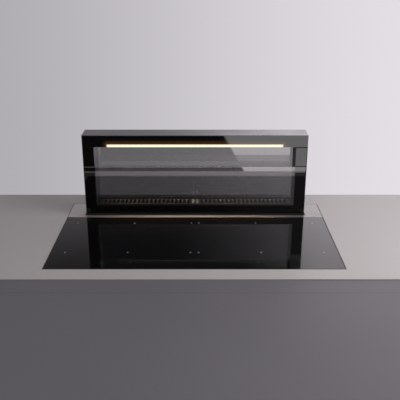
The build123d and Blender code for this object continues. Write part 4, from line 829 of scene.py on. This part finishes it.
thread_low, thread_high = -0.351, -0.017
journal, bevelled, bevel = 0.004, 0.0036, 0.0006
for hand in ("left", "right"):
    low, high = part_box(f"{hand}_lead_screw")
    axis = ((low.x + high.x) / 2, (low.y + high.y) / 2)

    def lead_screw(bm):
        lower = ((low.z, bevelled), (low.z + bevel, journal), (thread_low, journal))
        upper = ((thread_high, journal), (high.z - bevel, journal), (high.z, bevelled))
        threaded_bar(bm, thread_low, thread_high, axis)
        turned_shaft(bm, lower, axis)
        turned_shaft(bm, upper, axis)

    screw = build_mesh(f"{hand}_threaded_screw", f"{hand}_screw", ground, lead_screw)
    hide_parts(f"{hand}_lead_screw")

# Casing fasteners: pan-head screws close the front panel onto the folded shell, down both sides
# and along its foot. Others hold the bearing blocks to the side walls, and the back's two seams.
# The shell's flange stands out past its walls, so the walls lie inside its box.
flange_side, flange_back, edge = 0.006, 0.004, 0.008
shell_low, shell_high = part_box("casing_shell")
side_wall, back_wall = shell_high.x - flange_side, shell_high.y - flange_back
panel_low, panel_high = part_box("casing_front_panel")
panel_left, panel_right = panel_low.x + edge, panel_high.x - edge
bearing_y, upper_bearing, lower_bearing = 0.182, -0.010, -0.358
seam_x, upper_seam, lower_seam = -0.40, -0.02, -0.43
left_blocks = [(-side_wall, bearing_y, z) for z in (upper_bearing, lower_bearing)]
right_blocks = [(side_wall, bearing_y, z) for z in (upper_bearing, lower_bearing)]
back_seams = [(seam_x, back_wall, z) for z in (upper_seam, lower_seam)]
for name, starts, count, step, turn in (
    ("panel_left_screws", [(panel_left, panel_low.y, lower_seam)], 6, (0.0, 0.0, 0.08), FRONT),
    ("panel_right_screws", [(panel_right, panel_low.y, lower_seam)], 6, (0.0, 0.0, 0.08), FRONT),
    ("panel_floor_screws", [(-0.36, panel_low.y, panel_low.z + edge)], 7, (0.06, 0.0, 0.0), FRONT),
    ("bearing_left_screws", left_blocks, 2, (0.0, 0.026, 0.0), LEFT),
    ("bearing_right_screws", right_blocks, 2, (0.0, 0.026, 0.0), RIGHT),
    ("casing_back_screws", back_seams, 9, (0.1, 0.0, 0.0), BACK),
):
    screws.build(name, "housing", "galvanised", starts, count=count, step=step, turn=turn)

# Blower fasteners: six screws in a circle hold the motor's flange, and three join the foot of the
# cover to the outlet collar. The cover's ribs stand out past its sheet.
around = Layout("screw_circle", head=head, count=6, radius=0.0475)
bolt_sizes = {"Vertices": around.size("count"), "Radius": around.size("radius")}
bolt_circle = around.node("GeometryNodeMeshCircle", {}, bolt_sizes)
circle_head = around.node("GeometryNodeObjectInfo", {}, {0: around.size("head")}, "Geometry")
upright = {"Geometry": around.at(bolt_circle, circle_head), "Rotation": FRONT}
standing = around.node("GeometryNodeTransform", {}, upright)
around.finish(around.at(around.points, standing), zinc_screw)
motor_tail, cover_rib = 0.018, 0.003
wheel_z = (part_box("impeller_ring")[0].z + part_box("impeller_ring")[1].z) / 2
flange_middle = (0.0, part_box("blower_motor")[0].y + motor_tail, wheel_z)
around.build("motor_flange_screws", "housing", "motor_metal", [flange_middle])
rib_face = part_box("blower_cover")[0].y
collar_start, collar_step = (0.052, rib_face + cover_rib, -0.4225), (0.0535, 0.0, 0.0)
screws.build(
    "collar_front_screws",
    "housing",
    "motor_metal",
    [collar_start],
    count=3,
    step=collar_step,
    turn=FRONT,
)

# Scroll bosses: moulded screw towers that stand round the scroll and its cover, with a parting
# groove where the two meet. Each takes a screw from the front, as the cover is fixed on.


def screw_boss(bm):
    profile = (
        (-0.05, 0.0036),
        (-0.047, 0.0044),
        (-0.0066, 0.0048),
        (-0.006, 0.0044),
        (-0.0054, 0.0048),
        (-0.0008, 0.0048),
        (0.0, 0.0042),
    )
    turned_shaft(bm, profile, (0.0, 0.0), sides=16)


half_step = 0.0065
arcs = (
    (half_step, -half_step, 0.160, (15, 50, 85)),
    (half_step, half_step, 0.147, (115, 150)),
    (-half_step, half_step, 0.134, (185, 220, 250)),
)
wall_to_boss, mouth_to_boss = 0.0055, 0.0035
boss_places = []
for middle_x, middle_z, radius, turns in arcs:
    for turn in turns:
        reach = radius + wall_to_boss
        boss_x = middle_x + reach * math.cos(math.radians(turn))
        boss_z = wheel_z + middle_z + reach * math.sin(math.radians(turn))
        boss_places.append((boss_x, rib_face, boss_z))
mouth_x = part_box("blower_scroll")[1].x + mouth_to_boss
boss_places += [(mouth_x, rib_face, wheel_z - drop) for drop in (0.05, 0.11)]
boss = shape("screw_boss", screw_boss)
bosses = Layout("scroll_bosses", shape=boss)
boss_shape = bosses.node("GeometryNodeObjectInfo", {}, {0: bosses.size("shape")}, "Geometry")
bosses.finish(bosses.at(bosses.points, boss_shape, Rotation=FRONT), moulded)
bosses.build("scroll_bosses", "housing", "black_plastic", boss_places)
screws.build("cover_screws", "housing", "motor_metal", boss_places, count=1, turn=FRONT)

# Stiffening beads: long rounded ridges, pressed out of the casing's back and side walls, so that
# the thin sheet doesn't drum. Each has round ends and a soft top.


def pressed_bead(bm):
    """A ridge on the XY plane, along Y, with round ends and a soft top."""
    half_length, half_width, rise, steps = 0.15, 0.011, 0.003, 10
    profile = ((1.0, 0.0), (0.82, 0.3), (0.6, 0.7), (0.36, 0.93), (0.12, 1.0))
    rings = []
    for share, height in profile:
        radius = half_width * share
        ring = []
        for end, turned in ((1, 0.0), (-1, math.pi)):
            for step in range(steps + 1):
                angle = turned + math.pi * step / steps
                y = end * half_length + radius * math.sin(angle)
                ring.append((radius * math.cos(angle), y, rise * height))
        rings.append(ring)
    skin(bm, rings)


ridge = shape("pressed_bead", pressed_bead)
beads = Layout("pressed_beads", shape=ridge, turn=(0.0, 0.0, 0.0))
bead_shape = beads.node("GeometryNodeObjectInfo", {}, {0: beads.size("shape")}, "Geometry")
beads.finish(beads.at(beads.points, bead_shape, Rotation=beads.size("turn")), zinc)
bead_y, bead_z = (shell_low.y + shell_high.y) / 2, (shell_low.z + shell_high.z) / 2
back_row = [(x, back_wall, bead_z) for x in (-0.315, -0.105, 0.105, 0.315)]
beads.build("back_beads", "housing", "galvanised", back_row, turn=BACK)
for hand, x, aim in (("left", -side_wall, -math.pi / 2), ("right", side_wall, math.pi / 2)):
    turn = (math.pi / 2, 0.0, aim)
    beads.build(f"{hand}_side_bead", "housing", "galvanised", [(x, bead_y, bead_z)], turn=turn)

# Control box: its lid has two fields of vents and a screw in each corner. Two moulded cable glands
# stand in the entries below, each with a blind bore.
box_low, box_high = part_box("control_box")
vents = Layout("box_vents", length=0.034, width=0.0022, depth=0.0006, count=9, pitch=0.006)
slot_size = vents.vector(vents.size("width"), vents.size("depth"), vents.size("length"))
vent = vents.node("GeometryNodeMeshCube", {}, {"Size": slot_size})
vent_line = vents.row(vents.size("count"), vents.vector(vents.size("pitch")))
shadow = Finish("vent_shadow", linear(20, 20, 21), 0.8)
shadow.mottle(shadow.noise(300.0), (14, 14, 15), (28, 28, 29))
vents.finish(vents.at(vents.points, vents.at(vent_line, vent)), shadow)
vent_z, vent_sunk, corner = -0.118, 0.0001, 0.009
vent_starts = [(x, box_low.y + vent_sunk, vent_z) for x in (-0.355, -0.290)]
vents.build("box_vents", "housing", "grey_plastic", vent_starts)
lid_rows = [(box_low.x + corner, box_low.y, z) for z in (box_low.z + corner, box_high.z - corner)]
screws.build(
    "box_lid_screws",
    "housing",
    "grey_plastic",
    lid_rows,
    count=2,
    step=(box_high.x - box_low.x - 2 * corner, 0.0, 0.0),
    turn=FRONT,
)


def cable_glands(bm):
    """From the end of the blind bore down to its mouth, and up the outside into the box."""
    entries_x, entries_y = (-0.34, -0.26), 0.099
    profile = (
        (-0.004, 0.003),
        (-0.0156, 0.003),
        (-0.016, 0.0034),
        (-0.016, 0.0042),
        (-0.015, 0.0056),
        (-0.009, 0.0068),
        (-0.0085, 0.0092),
        (-0.0015, 0.0092),
        (-0.001, 0.0106),
        (-0.0001, 0.0106),
        (0.0, 0.0078),
        (0.0115, 0.0078),
    )
    steps = [(box_low.z + height, radius) for height, radius in profile]
    for x in entries_x:
        turned_shaft(bm, steps, (x, entries_y), sides=18)


build_mesh("cable_glands", "housing", moulded, cable_glands)

# Non-return flaps: two half discs of thin stamped aluminium, slightly dulled by steam, on pins
# across the outlet collar.
dull = Finish("dull_aluminium", linear(170, 172, 174), 0.5, Metallic=1.0)
steam = dull.noise(40.0, detail=5.0)
dull.mottle(steam, (150, 152, 154), (184, 186, 188), 0.4, 0.6)
dull.dress("left_flap", "right_flap")

# The shapes that the layouts repeat have served, so they go.
for used in (head, boss, ridge):
    bpy.data.objects.remove(used)

# Worktop: a thin pale sheet with a cut-out that the unit drops into. It is the stage that the unit
# stands on, and no part of the unit.


def stage_piece(name, finish, blocks):
    """A part of the stage, made of upright blocks."""

    def stack(bm):
        for low, high in blocks:
            add_block(bm, low, high)

    piece = shape(name, stack, finish)
    return piece


left, right, front, rear = -1.0, 1.0, -0.3195, 0.3565
worktop_top, worktop_sheet, joint = glass_top, 0.002, 0.0022
base = worktop_top - worktop_sheet
rim_low, rim_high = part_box("ceramic_glass")[0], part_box("trim_plate")[1]
hole_left, hole_right = rim_low.x - joint, rim_high.x + joint
hole_front, hole_rear = rim_low.y - joint, rim_high.y + joint
pale_worktop = Finish("pale_worktop", linear(164, 158, 158), 0.42)
cloudy = pale_worktop.noise(2.2, detail=5.0)
pale_worktop.mottle(cloudy, (160, 154, 154), (168, 162, 162))
stage_piece(
    "worktop",
    pale_worktop,
    (
        ((left, front, base), (hole_left, rear, worktop_top)),
        ((hole_right, front, base), (right, rear, worktop_top)),
        ((hole_left, front, base), (hole_right, hole_front, worktop_top)),
        ((hole_left, hole_rear, base), (hole_right, rear, worktop_top)),
    ),
)

# Joint: a bead of black silicone between the unit's rim and the worktop, a little below its face.
# It is part of the stage too.
clear, sunk = 0.0001, 0.001
bead_low, bead_top = base - sunk, worktop_top - sunk
bead_left, bead_right = rim_low.x - clear, rim_high.x + clear
bead_front, bead_rear = rim_low.y - clear, rim_high.y + clear
stage_piece(
    "joint_bead",
    silicone,
    (
        ((hole_left, hole_front, bead_low), (bead_left, hole_rear, bead_top)),
        ((bead_right, hole_front, bead_low), (hole_right, hole_rear, bead_top)),
        ((bead_left, hole_front, bead_low), (bead_right, bead_front, bead_top)),
        ((bead_left, bead_rear, bead_low), (bead_right, hole_rear, bead_top)),
    ),
)

# Cabinet top: a painted board in front of the worktop and a little lower, with a fine gap along it
# that is only a dark line of painted shade. It is part of the stage. Mirrors don't show it, so that
# they show the room's floor.
cabinet_front, cabinet_low, gap_ahead = -0.95, -0.03, 0.3946
cabinet = Finish("cabinet_top", linear(85, 82, 88), 0.5)
worn = cabinet.noise(2.6, detail=4.0)
# Painted shade: a thin dark line across the board, where a gap would fall into shadow.
gap = cabinet.ramp(abs(cabinet.axis("Y") + gap_ahead), 0.0008, 0.0014, 1.0, 0.0)
surface = cabinet.mix(worn, linear(81, 78, 84), linear(89, 86, 92))
cabinet.set(Base_Color=cabinet.mix(gap, surface, linear(60, 58, 63)))
cabinet_block = ((left, cabinet_front, cabinet_low), (right, front - clear, base))
cabinet_top = stage_piece("cabinet_top", cabinet, (cabinet_block,))
cabinet_top.visible_glossy = False

# Room: the camera and clear glass see a plain wall, lit from the right. Mirrors see a wall behind
# that is dim on the left and bright on the right, and a dim floor in front with daylight on its
# right half. Matt surfaces get even light.
world = bpy.data.worlds.new("room")
bpy.context.scene.world = world
world.use_nodes = True
room = Tree(world.node_tree)
view = room.node("ShaderNodeTexCoord", {}, {}, "Generated")
across, along, up = (room.node("ShaderNodeSeparateXYZ", {}, {0: view}, name) for name in "XYZ")
wall = room.mix(room.ramp(across, -0.42, 0.4), linear(172, 169, 174), linear(229, 225, 230))
higher = room.ramp(up, 0.34, 0.47)
behind_left = room.mix(higher, (0.39, 0.365, 0.385, 1.0), (0.08, 0.072, 0.076, 1.0))
behind_right = room.mix(higher, (1.72, 1.62, 1.72, 1.0), (1.5, 1.4, 1.47, 1.0))
lit_side = room.mix(higher, room.ramp(across, -0.1, 0.22), room.ramp(across, 0.06, 0.19))
behind = room.mix(lit_side, behind_left, behind_right)
ahead = abs(along) + 0.0001
fall = 0.0 - up / ahead
slant, shift = 0.5625, 0.1189
daylight = room.ramp(across / ahead - slant * fall + shift, 0.0, 0.004)
floor = room.mix(daylight, (0.02, 0.017, 0.018, 1.0), (0.96, 0.94, 0.94, 1.0))
ceiling = room.mix(room.ramp(across, -0.05, 0.2), (0.02, 0.019, 0.02, 1.0), (0.6, 0.59, 0.6, 1.0))
dim_or_lit = room.mix(up > 0.0, floor, ceiling)
near_horizon = room.ramp(abs(up), 0.1, 0.2, 1.0, 0.0)
well_below = room.ramp(up, -0.6, -0.45, 1.0, 0.0)
beside = room.ramp(abs(across) / ahead, 0.6, 0.9)
mid_grey = (0.55, 0.54, 0.55, 1.0)
in_front = room.mix(near_horizon + well_below + beside, dim_or_lit, mid_grey)
level = room.mix(along > 0.0, in_front, behind)
mirrored = room.mix(room.ramp(up, 0.5, 0.8), level, (1.1, 1.09, 1.1, 1.0))
seen, glossy, through = (
    room.node("ShaderNodeLightPath", {}, {}, name)
    for name in ("Is Camera Ray", "Is Glossy Ray", "Is Transmission Ray")
)
even = room.mix(room.ramp(up, -0.15, 0.35), (0.8, 0.79, 0.81, 1.0), (0.26, 0.255, 0.265, 1.0))
light = room.mix(glossy, room.mix(seen + through, even, wall), mirrored)
room.feed(room.nodes["Background"].inputs["Color"], light)

# Lamps: a wide soft window light from the right and a weaker one from the cook's left. Both aim at
# the hob, and mirrors don't show them.
for name, place, power, size in (
    ("window_light", (1.45, -0.45, 1.1), 26.5, 1.3),
    ("room_light", (-0.35, -1.15, 1.1), 5.0, 1.3),
):
    lamp = bpy.data.lights.new(name, "AREA")
    lamp.energy = power
    lamp.size = size
    source = add_object(name, lamp)
    source.location = place
    tilt = math.atan2(math.hypot(place[0], place[1]), place[2])
    source.rotation_euler = (tilt, 0, math.atan2(place[0], -place[1]))
    source.visible_glossy = False

bpy.context.scene.view_settings.view_transform = "Standard"
